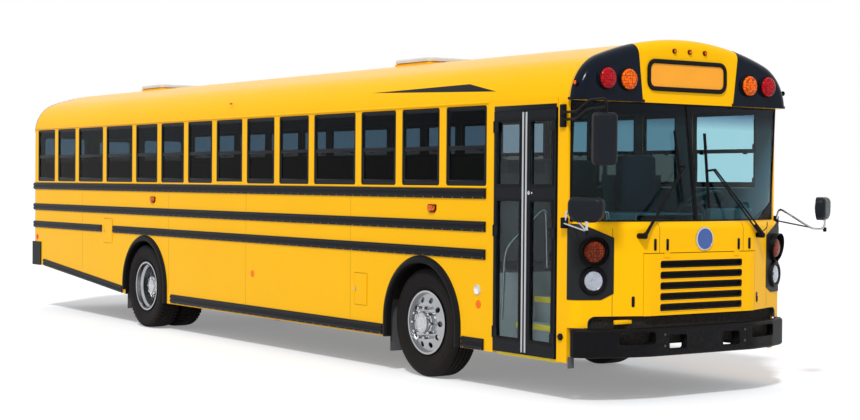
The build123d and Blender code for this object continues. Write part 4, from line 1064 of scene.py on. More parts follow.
cheekPieces = {
    "lamp_bezels": ("bezelGrey", "paint_black"),
    "lamp_hoods": ("satinBlack", "paint_black"),
    "turn_lenses": ("turnLens", "lens"),
    "headlamp_bowls": ("reflector", "lens", "bus", (), 12),
    "headlamp_lenses": ("clearLens", "lens"),
}
cowlPieces = {
    "cowl_seams": ("seamShade", "paint_yellow"),
    "hood_latches": ("capBlack", "paint_black"),
    "badge_ring": ("chrome", "wheel_alloy"),
    "badge_disc": ("badgeBlue", "paint_black"),
}


# local z points out of the slanted cheek, x outwards along it and y up
def onCheek(side, x, z, out=0.0):
    turn = nose["cheekTurn"]
    outwards = Vector((side * sin(turn), -cos(turn), 0))
    along = Vector((side * cos(turn), sin(turn), 0))
    place = Vector((side * x, (x - nose["flatHalf"]) * tan(turn), z)) + outwards * out
    return Matrix(((along.x, 0, outwards.x, place.x), (along.y, 0, outwards.y, place.y),
                   (0, 1, 0, place.z), (0, 0, 0, 1)))


# a short tube round a lamp, with a lip that stands out most at the top
def hoodPart(inner, deep, top, low, wall=0.005):
    bm = turnedPart([(inner, -0.03), (inner + wall, -0.03), (inner + wall * 1.6, deep),
                     (inner + wall * 1.3, deep + 0.003), (inner + wall * 0.4, deep)], 48)
    for v in bm.verts:
        if v.co.z > 0:
            share = 0.5 + 0.5 * v.co.y / v.co.xy.length
            v.co.z *= low + (top - low) * share
    return bm


def makeCheeks():
    parts = defaultdict(bmesh.new)
    corner, outer, inner = (Vector(point) for point in nose["bezelTop"])
    topNormal = (outer - corner).cross(inner - corner)
    if topNormal.z > 0:
        topNormal = -topNormal
    cuts = [(corner, topNormal), *nose["bezelCuts"]]
    addPart(parts["lamp_bezels"], skinPatch("front_cowl", cuts, 0.005), *bothSides)
    hoods = parts["lamp_hoods"]
    for side in (-1, 1):
        turn, head = onCheek(side, *nose["turnLamp"]), onCheek(side, *nose["headLamp"])
        addPart(hoods, hoodPart(*nose["turnHood"]), turn)
        addPart(hoods, discPart(-0.06, nose["turnBack"], 0.004, 48), turn)
        addPart(parts["turn_lenses"], lensPart(*nose["turnLens"]), turn)
        addPart(hoods, turnedPart(nose["headRing"], 48), head)
        addBlocks(hoods, turn, nose["bracket"])
        addPart(parts["headlamp_bowls"], discPart(-0.010, nose["bowl"], 0.0150, 20), head)
        addPart(parts["headlamp_lenses"], discPart(0.028, nose["headLens"], 0.032, 40), head)
    placePieces(parts, cheekPieces)


makeCheeks()


# the two cuts that leave a narrow line at a place on an axis
def seamAt(axis, place):
    return [cutAt(axis, place - nose["seamHalf"], 1), cutAt(axis, place + nose["seamHalf"], -1)]


def makeCowlParts():
    parts = defaultdict(bmesh.new)
    low, high = nose["cheekSeamHeights"]
    cheek = seamAt("x", nose["cheekSeam"]) + [cutAt("z", low, 1), cutAt("z", high, -1), cutAt("y", 0.3, -1)]
    hood = seamAt("x", nose["hoodSeam"]) + [cutAt("z", nose["hoodSeamLow"], 1), cutAt("y", 0.3, -1)]
    height, half = nose["crossSeam"]
    cross = seamAt("z", height) + [cutAt("x", -half, 1), cutAt("x", half, -1), cutAt("y", 0.2, -1)]
    for cuts, places in ((cheek, bothSides), (hood, bothSides), (cross, (identity,))):
        addPart(parts["cowl_seams"], skinPatch("front_cowl", cuts, 0.0006, 0.002), *places)
    for x, z, high in nose["latches"]:
        spot = shift(x, -0.001, z) @ onFront
        if abs(x) > nose["flatHalf"]:
            spot = onCheek(-1 if x < 0 else 1, abs(x), z, 0.001)
        outline = roundedOutline((-0.014, 0.014), (-high / 2, high / 2), 0.013)
        addPart(parts["hood_latches"], platePart(outline, 0.004, 0.0015), spot)
        addBlocks(parts["hood_latches"], spot, ((-0.006, 0.006), (-high * 0.4, high * 0.1), (0.002, 0.011)))
    spot = shift(*nose["badge"]) @ onFront
    addPart(parts["badge_ring"], turnedPart(nose["badgeRing"], 48), spot)
    addPart(parts["badge_disc"], discPart(0.0, [(0.089, 0.0), (0.089, 0.009)], 0.013, 48), spot)
    placePieces(parts, cowlPieces)


makeCowlParts()

# the windshield is an arc in plan that changes evenly from sill to header
windshield = {
    "sill": 1.5,
    "half": 1.195,
    "middle": (0.068, 0.127),  # y at the sill, and its change per metre up
    "edge": (0.333, -0.039),
}
wipers = {
    # pivot, where the arm meets the blade, blade's top and foot as (x, z)
    "pairs": [
        ((-0.694, -0.012, 1.385), (-0.136, 1.965), (-0.190, 2.270), (-0.156, 1.663)),
        ((0.690, -0.012, 1.377), (0.215, 1.942), (0.160, 2.253), (0.144, 1.609)),
    ],
    "armRadius": 0.0075,
    "meetOut": 0.052,
    "pivotRadius": 0.024,
    "pivotDeep": (0.05, -0.040),
    "sleeve": (0.16, 0.017, 0.013),  # share of the arm, radius at the pivot and at its end
    "armHalf": Vector((0.016, 0, 0.010)),
    "armOut": Vector((0, -0.028, 0)),
    "blade": [(0.012, 0.0095), (0.026, 0.0070)],  # out from the glass, radius
    "bladeSteps": 10,
    "clips": (0.18, 0.5, 0.82),
    "hose": [(0.03, 0.02, 0.02), (0.05, -0.03, 0.06), (0.11, 0.02, 0.11)],
    "pieces": {"wipers": ("satinBlack", "paint_black"), "washer_hoses": ("rubber", "trim_rubber")},
}


def glassPlace(x, z, out=0.0):
    up = z - windshield["sill"]
    middle, edge = (start + change * up for start, change in (windshield["middle"], windshield["edge"]))
    sag = edge - middle
    radius = (windshield["half"] ** 2 + sag ** 2) / (2 * sag)
    return Vector((x, middle + radius - (radius ** 2 - x ** 2) ** 0.5 - out, z))


def makeWipers():
    parts = defaultdict(bmesh.new)
    arms, armOut = parts["wipers"], wipers["armOut"]
    for pivot, meet, top, foot in wipers["pairs"]:
        pivot, top, foot = Vector(pivot), Vector(top), Vector(foot)
        end = glassPlace(*meet, wipers["meetOut"])
        for offset in (wipers["armHalf"], -wipers["armHalf"]):
            addPart(arms, rodPart(pivot + offset + armOut, end + offset * 0.5, wipers["armRadius"], 10))
        aft, fore = (pivot + Vector((0, deep, 0)) for deep in wipers["pivotDeep"])
        addPart(arms, rodPart(aft, fore, wipers["pivotRadius"], 20, 0.004))
        share, thick, thin = wipers["sleeve"]
        sleeveEnd = pivot + (end - pivot) * share + Vector((0, -0.022, 0))
        addPart(arms, rodPart(pivot + armOut, sleeveEnd, thick, 12, 0.004, thin))
        run = [foot.lerp(top, step / wipers["bladeSteps"]) for step in range(wipers["bladeSteps"] + 1)]
        for out, thick in wipers["blade"]:
            addPart(arms, tubePart([glassPlace(x, z, out) for x, z in run], thick, 8, 0.01))
        for share in wipers["clips"]:
            place = foot.lerp(top, share)
            addPart(arms, rodPart(glassPlace(*place, 0.010), glassPlace(*place, 0.034), 0.008, 8))
        addPart(arms, rodPart(glassPlace(*foot.lerp(top, 0.5), 0.030), end, 0.010, 10))
        hose = [pivot + Vector(step) for step in wipers["hose"]]
        addPart(parts["washer_hoses"], tubePart(hose, 0.004, 8, 0.03))
    placePieces(parts, wipers["pieces"])


makeWipers()
print("front done")

mirrors = {
    "flat": {-1: (-1.345, -0.270, 2.168), 1: (1.375, 0.560, 2.005)},  # side and place
    "flatTurn": 27,
    "flatHalf": (0.099, 0.209),
    "upper": [(-1.232, 0.385, 2.400), (-1.265, 0.160, 2.398), (-1.310, -0.045, 2.485),
              (-1.345, -0.285, 2.485), (-1.345, -0.285, 2.340)],
    "lower": [(-1.232, 0.365, 2.339), (-1.265, 0.163, 2.340), (-1.312, -0.030, 2.413),
              (-1.345, -0.285, 2.416)],
    "armRadius": 0.0115,
    "foot": ((-1.245, -1.219), (0.345, 0.410), (2.277, 2.466), 0.006),
    "bolts": (2.300, 2.370, 2.440),
    "leftArms": (2.160, 1.850),
    "bowl": (1.357, -0.083, 1.607),
    "bowlTurns": {-1: -59, 1: 30},
    # tight corners above and wide ones below: x, y, radius, start of the arc
    "bowlCorners": [(0.149, 0.102, 0.060, 0), (-0.149, 0.102, 0.060, 90), (-0.149, -0.103, 0.095, 180),
                    (0.149, -0.103, 0.095, 270)],
    # spans of the bowl's two clamps, from the middle outwards, along and up
    "clamps": [((1.219, 1.275), (0.310, 0.352), (1.445, 1.535)),
               ((1.385, 1.409), (-0.136, -0.108), (1.400, 1.440))],
    "domeHigh": 0.027,
    "domeScale": (1.38, 0.92, 1, 1),
    "arm": [(1.250, 0.330, 1.470), (1.252, 0.290, 1.606), (1.321, -0.050, 1.424), (1.397, -0.122, 1.424),
            (1.397, -0.122, 1.580)],
    "pieces": {
        "mirror_shells": ("mirrorBlack", "paint_black", "bus", ["mirrors"]),
        "mirror_glass": ("mirrorGlass", "glass_tint"),
        "mirror_brackets": ("satinBlack", "paint_black"),
        "mirror_arms": ("chrome", "steel_dark"),
    },
}


# a span across the bus on one side, near and far from the middle
def sideSpan(side, near, far):
    return sorted((side * near, side * far))


# a plate whose raised edge is rounded over
def shellPart(outline, thick, rounding):
    shell = platePart(outline, thick)
    rim = [e for e in shell.edges if all(v.co.z > thick / 2 for v in e.verts)]
    bmesh.ops.bevel(shell, geom=rim, offset=rounding, segments=6, **bevelWay)
    return shell


def makeFlatMirrors(parts):
    shells, brackets = parts["mirror_shells"], parts["mirror_brackets"]
    xs, zs = (grown((0.0, 0.0), half) for half in mirrors["flatHalf"])
    for side, place in mirrors["flat"].items():
        head = shift(*place) @ spun(side * mirrors["flatTurn"]) @ onFront
        addPart(shells, shellPart(roundedOutline(xs, zs, 0.040, 8), 0.079, 0.034), head @ shift(z=-0.035))
        glass = roundedOutline(grown(xs, -0.011), grown(zs, -0.011), 0.030, 8)
        addPart(parts["mirror_glass"], platePart(glass, 0.006, 0.001, 1), head @ shift(z=-0.038))
        for z in (-0.150, 0.150):
            addPart(shells, discPart(0.040, [(0.005, 0.040), (0.005, 0.047)], 0.048, 8),
                    head @ shift(-0.03, z), head @ shift(0.03, z))
    for run in (mirrors["upper"], mirrors["lower"]):
        addPart(brackets, tubePart(run, mirrors["armRadius"], 12, 0.05))
    addBlocks(brackets, identity, mirrors["foot"])
    for z in mirrors["bolts"]:
        addPart(brackets, rodPart((-1.243, 0.378, z), (-1.251, 0.378, z), 0.008, 6))
    for z in mirrors["leftArms"]:
        addPart(brackets, rodPart((1.219, 0.560, z), (1.375, 0.560, z), 0.011, 12))
        addBlocks(brackets, identity, ((1.219, 1.231), (0.52, 0.60), grown((z, z), 0.03), 0.004))


def makeBowlMirrors(parts):
    outline = [point for corner in mirrors["bowlCorners"] for point in cornerArc(*corner, 8)]
    arc = [radians(9 * step) for step in range(1, 10)]
    domeHigh = mirrors["domeHigh"]
    for side in (-1, 1):
        x, y, z = mirrors["bowl"]
        back = shift(side * x, y, z) @ spun(mirrors["bowlTurns"][side]) @ onFront
        addPart(parts["mirror_shells"], shellPart(outline, 0.085, 0.042), back)
        dome = discPart(domeHigh, [(0.1 * sin(a), domeHigh * cos(a)) for a in arc] + [(0.1, 0.0)], -0.002, 40)
        addPart(parts["mirror_glass"], dome, back @ throughMirror @ Matrix.Diagonal(mirrors["domeScale"]))
        arms = parts["mirror_arms"]
        addPart(arms, tubePart([(side * x, y, z) for x, y, z in mirrors["arm"]], 0.0105, 12, 0.05))
        addPart(arms, rodPart((side * 1.262, 0.330, 1.490), (side * 1.320, 0.000, 1.440), 0.008, 12))
        addBlocks(parts["mirror_brackets"], identity, *[
            (sideSpan(side, *xs), ys, zs, 0.006) for xs, ys, zs in mirrors["clamps"]])
        addPart(arms, rodPart((side * 1.397, -0.122, 1.500), (side * 1.397, -0.122, 1.600), 0.016, 16, 0.004))


def makeMirrors():
    parts = defaultdict(bmesh.new)
    makeFlatMirrors(parts)
    makeBowlMirrors(parts)
    placePieces(parts, mirrors["pieces"])


makeMirrors()
print("mirrors done")

door = {
    "fore": 0.470, "aft": 1.322, "outer": 1.228, "low": 0.353, "high": 2.434,
    "leaves": {"front": (0.472, 0.873), "rear": (0.885, 1.314)},
    "edges": {"front": (0.873, 0.879), "rear": (0.8795, 0.885)},
    "strips": {"front": (0.846, 0.868), "rear": (0.890, 0.912)},
    "margins": {"front": (0.040, 0.062), "rear": (0.062, 0.040)},  # from the leaf's edges to its glass
    "lights": [(0.472, 1.668), (1.795, 2.350)],
    "stripHeights": (0.372, 2.418),
    "stripOut": (1.227, 1.237),
    # past the light, corner, width, thickness and place from the leaf's face, outside and inside
    "sealRings": [(0.014, 0.036, 0.024, 0.006, -0.001), (0.008, 0.030, 0.018, 0.005, -0.040)],
    "edgeSealOut": (1.196, 1.2265),
    "lock": (0.822, 1.732),
    "button": (0.780, 1.732),
    "treads": (0.365, 0.585, 0.805),
    "treadDeep": 0.205,
    "firstTread": 1.174,
    "nosingRun": (0.474, 1.308),
    "riserRun": (0.482, 1.298),
    "rail": [(-0.62, 1.06), (-0.64, 1.62), (-1.10, 1.24), (-1.13, 0.62)],  # x and z
    "railPlaces": (0.482, 1.310),
    "pieces": {
        "door_header_strip": ("blackPaint", "paint_black"),
        "step_nosings": ("stepNosing", "paint_yellow"),
        "step_risers": ("stepPlate", "floor_rubber"),
        "grab_rails": ("chrome", "steel_dark"),
    },
}


def makeLeaves():
    out = onSide(-1)
    for label, (fore, aft) in door["leaves"].items():
        seals, strip = bmesh.new(), bmesh.new()
        foreMargin, aftMargin = door["margins"][label]
        glass = (fore + foreMargin, aft - aftMargin)
        for heights in door["lights"]:
            for past, corner, wide, thick, place in door["sealRings"]:
                ring = ringPart(grown(glass, past), grown(heights, past), corner, wide, thick)
                addPart(seals, ring, out @ shift(z=door["outer"] + place))
        addBlocks(seals, out, (door["edges"][label], grown((door["low"], door["high"]), -0.004),
                               door["edgeSealOut"], 0.002))
        addBlocks(strip, out, (door["strips"][label], door["stripHeights"], door["stripOut"]))
        placePiece(f"door_seals_{label}", seals, "rubber", "trim_rubber", f"door_leaf_{label}")
        placePiece(f"door_strip_{label}", strip, "doorAlloy", "steel_dark", f"door_leaf_{label}")
    lock, spot = bmesh.new(), out @ shift(*door["lock"], door["outer"])
    addPart(lock, discPart(-0.002, [(0.017, -0.002), (0.017, 0.006), (0.012, 0.009)], 0.009, 24), spot)
    addBlocks(lock, spot, ((-0.002, 0.002), (-0.008, 0.008), (0.009, 0.011), 0))
    addPart(lock, discPart(-0.002, [(0.009, -0.002), (0.009, 0.005)], 0.006, 16),
            out @ shift(*door["button"], door["outer"]))
    placePiece("door_lock", lock, "chrome", "steel_dark", "door_leaf_front")


def makeEntry():
    parts = defaultdict(bmesh.new)
    out, run = onSide(-1), door["nosingRun"]
    addBlocks(parts["door_header_strip"], out,
              (grown((door["fore"], door["aft"]), -0.003), (2.436, 2.478), (1.2165, 1.223), 0.002))
    for index, tread in enumerate(door["treads"]):
        outer = door["firstTread"] - door["treadDeep"] * index
        inner = outer - door["treadDeep"]
        addBlocks(parts["step_nosings"], out,
                  (run, (tread - 0.016, tread + 0.003), (outer - 0.040, outer + 0.003), 0.002),
                  (run, (tread - 0.044, tread - 0.014), (outer - 0.003, outer + 0.003), 0.001))
        addBlocks(parts["step_risers"], out,
                  (door["riserRun"], (tread + 0.004, tread + 0.174), (inner - 0.001, inner + 0.003), 0.001))
    addBlocks(parts["step_nosings"], out, (run, (0.980, 1.028), (0.556, 0.5635), 0.001))
    for y in door["railPlaces"]:
        addPart(parts["grab_rails"], tubePart([(x, y, z) for x, z in door["rail"]], 0.016, 16, 0.12))
    placePieces(parts, door["pieces"])


makeLeaves()
makeEntry()

sides = {
    "markers": (2.250, 8.146),
    "reflectors": {-1: [(1.534, 0.740), (5.646, 0.800)], 1: [(5.646, 0.800)]},
    "rearReflector": (11.886, 1.004),
    "lamp": (1.551, 0.867),
    "lampRing": [(0.047, -0.001), (0.047, 0.007), (0.041, 0.012), (0.036, 0.008), (0.020, 0.003)],
    "lampGlass": [(0.030, 0.006), (0.037, 0.007), (0.030, 0.012)],
    "pieces": {
        "side_marker_bases": ("satinBlack", "lens"),
        "side_markers": ("amberLens", "lens"),
        "side_reflectors": ("reflectorOrange", "lens"),
        "rear_side_reflectors": ("reflectorRed", "lens"),
        "side_lamp_ring": ("hatchWhite", "wheel_alloy"),
        "side_lamp_glass": ("clearLens", "lens"),
    },
}


# a small lamp with chamfered lower corners, in the local XY plane
def markerPart(xs, ys, deep):
    (fore, aft), (low, high) = xs, ys
    cut = (high - low) * 0.35
    top, foot = [(aft, high), (fore, high)], [(fore + cut, low), (aft - cut, low)]
    return platePart([*top, (fore, low + cut), *foot, (aft, low + cut)], deep, 0.004, 2)


def makeSideLamps():
    parts = defaultdict(bmesh.new)
    for side in (-1, 1):
        out = onSide(side) @ shift(z=halfWidth)
        for y in sides["markers"]:
            addPart(parts["side_marker_bases"], markerPart(grown((y, y), 0.064), (1.536, 1.612), 0.010),
                    out @ shift(z=-0.001))
            addPart(parts["side_markers"], markerPart(grown((y, y), 0.050), (1.547, 1.603), 0.018),
                    out @ shift(z=0.008))
        for y, z in sides["reflectors"][side]:
            addPart(parts["side_reflectors"], lensPart(0.038, 0.007, -0.001, 28), out @ shift(y, z))
        addPart(parts["rear_side_reflectors"], lensPart(0.038, 0.007, -0.001, 28),
                out @ shift(*sides["rearReflector"]))
    out = onSide(-1) @ shift(*sides["lamp"], halfWidth)
    addPart(parts["side_lamp_ring"], discPart(-0.001, sides["lampRing"], 0.002), out)
    addPart(parts["side_lamp_glass"], discPart(0.008, sides["lampGlass"], 0.015), out)
    addBlocks(parts["side_markers"], onSide(-1), ((6.150, 6.194), (2.664, 2.682), (1.206, 1.224), 0.004))
    placePieces(parts, sides["pieces"])


makeSideLamps()

# (y, z) of the long tapered wedge along the roof's shoulder
stripe = {"rear": (3.354, 2.679), "fore": (1.324, 2.611), "apex": (1.765, 2.696), "inside": -0.9}


def makeStripe():
    bm = bmesh.new()
    corners = [Vector((0, *stripe[name])) for name in ("rear", "fore", "apex")]
    middle = sum(corners, Vector()) / 3
    cuts = [cutAt("x", stripe["inside"], -1)]
    for start, end in zip(corners, corners[1:] + corners[:1]):
        along = end - start
        inwards = Vector((0, -along.z, along.y))
        cuts.append((start, inwards if inwards.dot(middle - start) > 0 else -inwards))
    addPart(bm, skinPatch("roof", cuts, 0.0009, 0.002), *bothSides)
    placePiece("roof_stripe", bm, "blackPaint", "paint_black")


makeStripe()

panels = {
    "rivetHeights": [(1.505, 1.645), (1.245, 1.365)],
    "seams": (3.65, 5.80, 7.72, 10.3),
    "seamHeights": ((0.46, 1.130), (1.232, 1.377), (1.477, 1.668)),
    "rearSeamLow": 0.62,  # the skirt is cut away behind the rear axle
    "doorPost": 1.395,
    # y and z spans of the filler doors on the right side
    "flaps": {"fuel_flap": (9.345, 9.600, 1.005, 1.312), "fluid_flap": (3.345, 3.565, 0.610, 0.916)},
    "hookCover": [(0.036, 0), (0.012, 0.028), (-0.012, 0.028), (-0.030, 0), (-0.012, -0.028),
                  (0.012, -0.028)],
    "hookPlace": (0.395, 0.545, halfWidth - 0.002),
}


# panel seams, fine rivets, catches of the filler doors and the cover low on the body
def makePanels():
    seams, rivets = bmesh.new(), bmesh.new()
    places = []
    for side in (-1, 1):
        out = onSide(side) @ shift(z=halfWidth)
        posts = [fore - windows["gap"] / 2 for fore, _ in (rightSpans if side < 0 else leftSpans[:-1])
                 if fore >= 1.45]
        for heights in panels["rivetHeights"]:
            places += [out @ shift(post, z) for post in posts for z in heights]
        places += [out @ shift(panels["doorPost"], 0.42 + 0.16 * index) for index in range(13)]
        for y in panels["seams"]:
            for low, high in panels["seamHeights"]:
                low = panels["rearSeamLow"] if y > 9.4 and low < 0.5 else low
                addBlocks(seams, out, (grown((y, y), 0.0012), (low, high), (-0.001, 0.0006), 0))
    addPart(rivets, studPart(0.0048, 0.0040, 0.0028), *places)
    placePiece("panel_seams", seams, "seamShade", "paint_yellow")
    placePiece("body_rivets", rivets, "schoolYellow", "paint_yellow")
    for body, (_, aft, low, high) in panels["flaps"].items():
        catch, middle = bmesh.new(), (low + high) / 2
        addBlocks(catch, onSide(-1) @ shift(z=halfWidth),
                  ((aft - 0.030, aft - 0.010), grown((middle, middle), 0.014), (0.012, 0.020)))
        placePiece(f"{body}_catch", catch, "doorAlloy", "steel_dark", body)
    cover = bmesh.new()
    addPart(cover, platePart(panels["hookCover"], 0.020, 0.004, 2), onSide(-1) @ shift(*panels["hookPlace"]))
    placePiece("towing_hook_cover", cover, "satinBlack", "paint_black")


makePanels()
print("sides done")


# which inner faces of each node carry the cabin's lining
def facesMiddle(centre, normal):
    return normal.x * centre.x < 0


def inWall(centre, normal):
    return abs(normal.x) > 0.9 and facesMiddle(centre, normal) and centre.z > 0.6


def inRoof(centre, normal):
    return normal.dot(Vector((centre.x, 0, centre.z - 1.9)).normalized()) < -0.55 and abs(normal.y) < 0.3


def inCowl(centre, normal):
    return centre.y > 0.045 and normal.dot(Vector((0, 1.2, 1.1)) - centre) > 0.3 and abs(centre.x) < 1.18


lining = {
    "roof": inRoof,
    "front_pillars": lambda centre, normal: facesMiddle(centre, normal) and abs(centre.x) > 0.9,
    "front_header": lambda centre, normal: normal.y > 0.4 and centre.y > 0.15,
    "rear_wall": lambda centre, normal: normal.y < -0.7,
    "front_cowl": inCowl,
}


def makeLining():
    walls = bmesh.new()
    for name in ("side_panel_right", "side_panel_left", "window_posts"):
        addPart(walls, liningPatch(name, inWall))
    addBlocks(walls, identity, ((1.172, 1.1765), (0.340, 0.790), (1.000, 1.780), 0))
    for name, keep in lining.items():
        addPart(walls, liningPatch(name, keep))
    placePiece("cabin_lining", walls, "liningGrey", "cabin_plastic")


makeLining()

seats = {
    "x": (0.223, 1.173), "low": 1.375, "deep": 0.400, "thick": 0.120, "top": 2.060, "backThick": 0.090,
    "pitch": 0.724,
    "rows": {-1: (1.960, 14), 1: (2.290, 13)},  # the first bench of each side, and how many
}
benchPlaces = [(side, first + seats["pitch"] * row)
               for side, (first, count) in seats["rows"].items() for row in range(count)]


# a crowned pad centred on the origin: wide along x, deep along y and thick along z
def cushionPart(wide, deep, thick, crown):
    bm = bmesh.new()
    bmesh.ops.create_cube(bm, size=1)
    bmesh.ops.scale(bm, vec=(wide, deep, thick), verts=bm.verts)
    bmesh.ops.subdivide_edges(bm, edges=bm.edges, cuts=7, use_grid_fill=True)
    for v in bm.verts:
        across, along, up = v.co.x * 2 / wide, v.co.y * 2 / deep, v.co.z * 2 / thick
        bulge = (1 - across ** 4) * (1 - along ** 4)
        v.co.z += crown * bulge * (1 if up > 0 else 0.25) * abs(up)
        pull = 1 - 0.035 * (1 - abs(up)) - 0.05 * max(abs(across), abs(along)) ** 8 * up ** 2
        v.co.x *= pull + 0.012 * (1 - along ** 2)
        v.co.y *= pull + 0.012 * (1 - across ** 2)
    return bm


def makeSeats():
    benches, backs = bmesh.new(), bmesh.new()
    near, far = seats["x"]
    wide, middle, deep, thick = far - near - 0.012, (near + far) / 2, seats["deep"], seats["thick"]
    addPart(benches, cushionPart(wide, deep - 0.012, thick - 0.012, 0.010), *[
        shift(side * middle, y + deep / 2, seats["low"] + thick / 2 - 0.002) for side, y in benchPlaces])
    high = seats["top"] - seats["low"] - 0.10
    backY = deep - 0.010 + seats["backThick"] / 2
    addPart(backs, cushionPart(wide, high, seats["backThick"] - 0.010, 0.008), *[
        shift(side * middle, y + backY, seats["top"] - high / 2) @ onFront for side, y in benchPlaces])
    placePad("seat_benches", benches, ["seat_cushions"])
    placePad("seat_backs", backs)


makeSeats()
print("cabin done")


# the two driver's panes are hardly tinted, unlike the passengers' ones in the same node
def clearDriverPanes():
    panes = frame["nodes"]["body_windows"]
    panes.data.materials.append(finishes["driverGlass"])
    for face in panes.data.polygons:
        place = toFrame.inverted() @ (panes.matrix_world @ face.center)
        if place.x > 1.0 and place.y < 1.40:
            face.material_index = len(panes.data.materials) - 1


clearDriverPanes()

rear = {
    "lamps": [(0.944, 2.600, 0.084, "red"), (0.711, 2.600, 0.084, "amber"), (1.070, 1.560, 0.088, "red"),
              (1.070, 1.270, 0.060, "amber"), (0.850, 1.560, 0.088, "red")],
    "lampBase": [(0.014, -0.002), (0.012, 0.008), (0.003, 0.012), (0.002, 0.022)],  # past the lens, and out
    "markers": (-0.179, 0.0, 0.179),
    "markerZ": 2.895,
    "windowXs": (0.455, 1.075),
    "windowZs": (1.800, 2.400),
    "windowGasket": (0.070, 0.032, 0.012, 0.004),  # corner, width, thickness and edge
    "doorGasket": (0.068, 0.030, 0.012, 0.004),
    "doorSeal": (0.026, 0.013, 0.006),
    "doorHalf": 0.330,
    "doorHeights": (1.054, 2.426),
    "lightHalf": 0.263,
    "lights": [(1.830, 2.370), (1.240, 1.680)],
    "capCuts": [cutAt("z", 2.475, 1), ((0.590, 0, 2.475), (1, 0, 0.12)), cutAt("y", bodyRear - 0.03, 1)],
    "rivetRows": (1.00, 1.73, 2.45),
    "handle": [(0.190, 12.044, 1.730), (0.100, 12.046, 1.730), (0.085, 12.030, 1.730)],
    "bumperPads": (-0.9, -0.45, 0.45, 0.9),
    "padBlock": ((12.050, 12.0545), (0.655, 0.895), 0.002),
    "plate": ((-0.150, 0.150), (1.255, 1.405)),
    "pieces": {
        "rear_lamp_bases": ("satinBlack", "lens", "bus", ["rear_lamps"]),
        "rear_lenses_red": ("redLens", "lens"),
        "rear_lenses_amber": ("amberLens", "lens"),
        "rear_window_gaskets": ("rubber", "trim_rubber"),
        "rear_door_gaskets": ("rubber", "trim_rubber", "emergency_door"),
        "rear_door_seal": ("rubber", "trim_rubber"),
        "rear_caps": ("capBlack", "paint_black"),
        "rear_rivets": ("schoolYellow", "paint_yellow"),
        "rear_door_handle": ("chrome", "steel_dark", "emergency_door"),
        "rear_bumper_pads": ("rubber", "trim_rubber"),
        "blank_plate": ("signWhite", "paint_yellow"),
    },
}


def makeRearLamps(parts, face):
    bases = parts["rear_lamp_bases"]
    for x, z, radius, kind in rear["lamps"]:
        places = [face @ shift(side * x, z) for side in (-1, 1)]
        base = [(radius + more, out) for more, out in rear["lampBase"]]
        addPart(bases, discPart(-0.002, base, 0.022, 36), *places)
        addPart(parts[f"rear_lenses_{kind}"], lensPart(radius, 0.024, 0.016, 36), *places)
    for x in rear["markers"]:
        spot = face @ shift(x, rear["markerZ"])
        addPart(bases, discPart(-0.002, [(0.021, -0.002), (0.021, 0.008)], 0.010, 20), spot)
        addPart(parts["rear_lenses_red"], lensPart(0.014, 0.012, 0.008, 20), spot)


def makeRear():
    parts = defaultdict(bmesh.new)
    face = onRear @ shift(z=bodyRear)
    makeRearLamps(parts, face)
    (near, far), zs = grown(rear["windowXs"], 0.020), grown(rear["windowZs"], 0.020)
    for side in (-1, 1):
        gasket = ringPart(sideSpan(side, near, far), zs, *rear["windowGasket"])
        addPart(parts["rear_window_gaskets"], gasket, face @ shift(z=-0.003))
    for heights in rear["lights"]:
        gasket = ringPart(grown((0.0, 0.0), rear["lightHalf"]), grown(heights, 0.018), *rear["doorGasket"])
        addPart(parts["rear_door_gaskets"], gasket, face @ shift(z=0.001))
    half = rear["doorHalf"] + 0.006
    seal = ringPart((-half, half), rear["doorHeights"], *rear["doorSeal"])
    addPart(parts["rear_door_seal"], seal, face @ shift(z=-0.003))
    cap = skinPatch("rear_wall", rear["capCuts"], 0.003, inside=(0, 9.0, 1.6))
    addPart(parts["rear_caps"], cap, *bothSides)
    heads = [face @ shift(side * (0.42 + 0.10 * index), z)
             for z in rear["rivetRows"] for side in (-1, 1) for index in range(8)]
    heads += [face @ shift(side * 1.185, 1.05 + 0.10 * index) for side in (-1, 1) for index in range(14)]
    addPart(parts["rear_rivets"], studPart(0.0048, 0.0040, 0.0028), *heads)
    handle = parts["rear_door_handle"]
    backing = platePart(roundedOutline((0.135, 0.245), (1.700, 1.760), 0.012), 0.010, 0.003)
    addPart(handle, backing, face @ acrossMirror)
    addPart(handle, rodPart((0.190, 12.010, 1.730), (0.190, 12.046, 1.730), 0.011, 16))
    addPart(handle, tubePart(rear["handle"], 0.009, 12, 0.02))
    addBlocks(parts["rear_bumper_pads"], identity, *[
        (grown((x, x), 0.12), *rear["padBlock"]) for x in rear["bumperPads"]])
    plate = platePart(roundedOutline(*rear["plate"], 0.010), 0.003, 0.001, 1)
    addPart(parts["blank_plate"], plate, face @ shift(x=0.600, z=0.001))
    placePieces(parts, rear["pieces"])


makeRear()

stopArm = {
    "x": 1.271, "thick": 0.014, "y": 2.470, "z": 1.560, "half": 0.228, "border": 0.014, "lampOff": 0.155,
    "lampRing": [(0.044, 0.005), (0.053, 0.005), (0.053, 0.014), (0.047, 0.016)],
    "blocks": [((1.257, 1.271), (2.140, 2.300), (1.500, 1.620), 0.004),
               ((1.2855, 1.291), (2.165, 2.300), (1.510, 1.610), 0.002)],
    "pieces": {
        "stop_face": ("signRed", "sign_red", "stop_sign", ["stop_arm"]),
        "stop_border": ("signWhite", "sign_red", "stop_sign"),
        "stop_lamps": ("redLens", "lens", "stop_sign"),
        "stop_arm_plates": ("satinBlack", "frame_black", "stop_sign"),
    },
}


def octagon(half):
    far = half / cos(radians(22.5))
    angles = [radians(22.5 + 45 * turn) for turn in range(8)]
    return [(far * cos(angle), far * sin(angle)) for angle in angles]


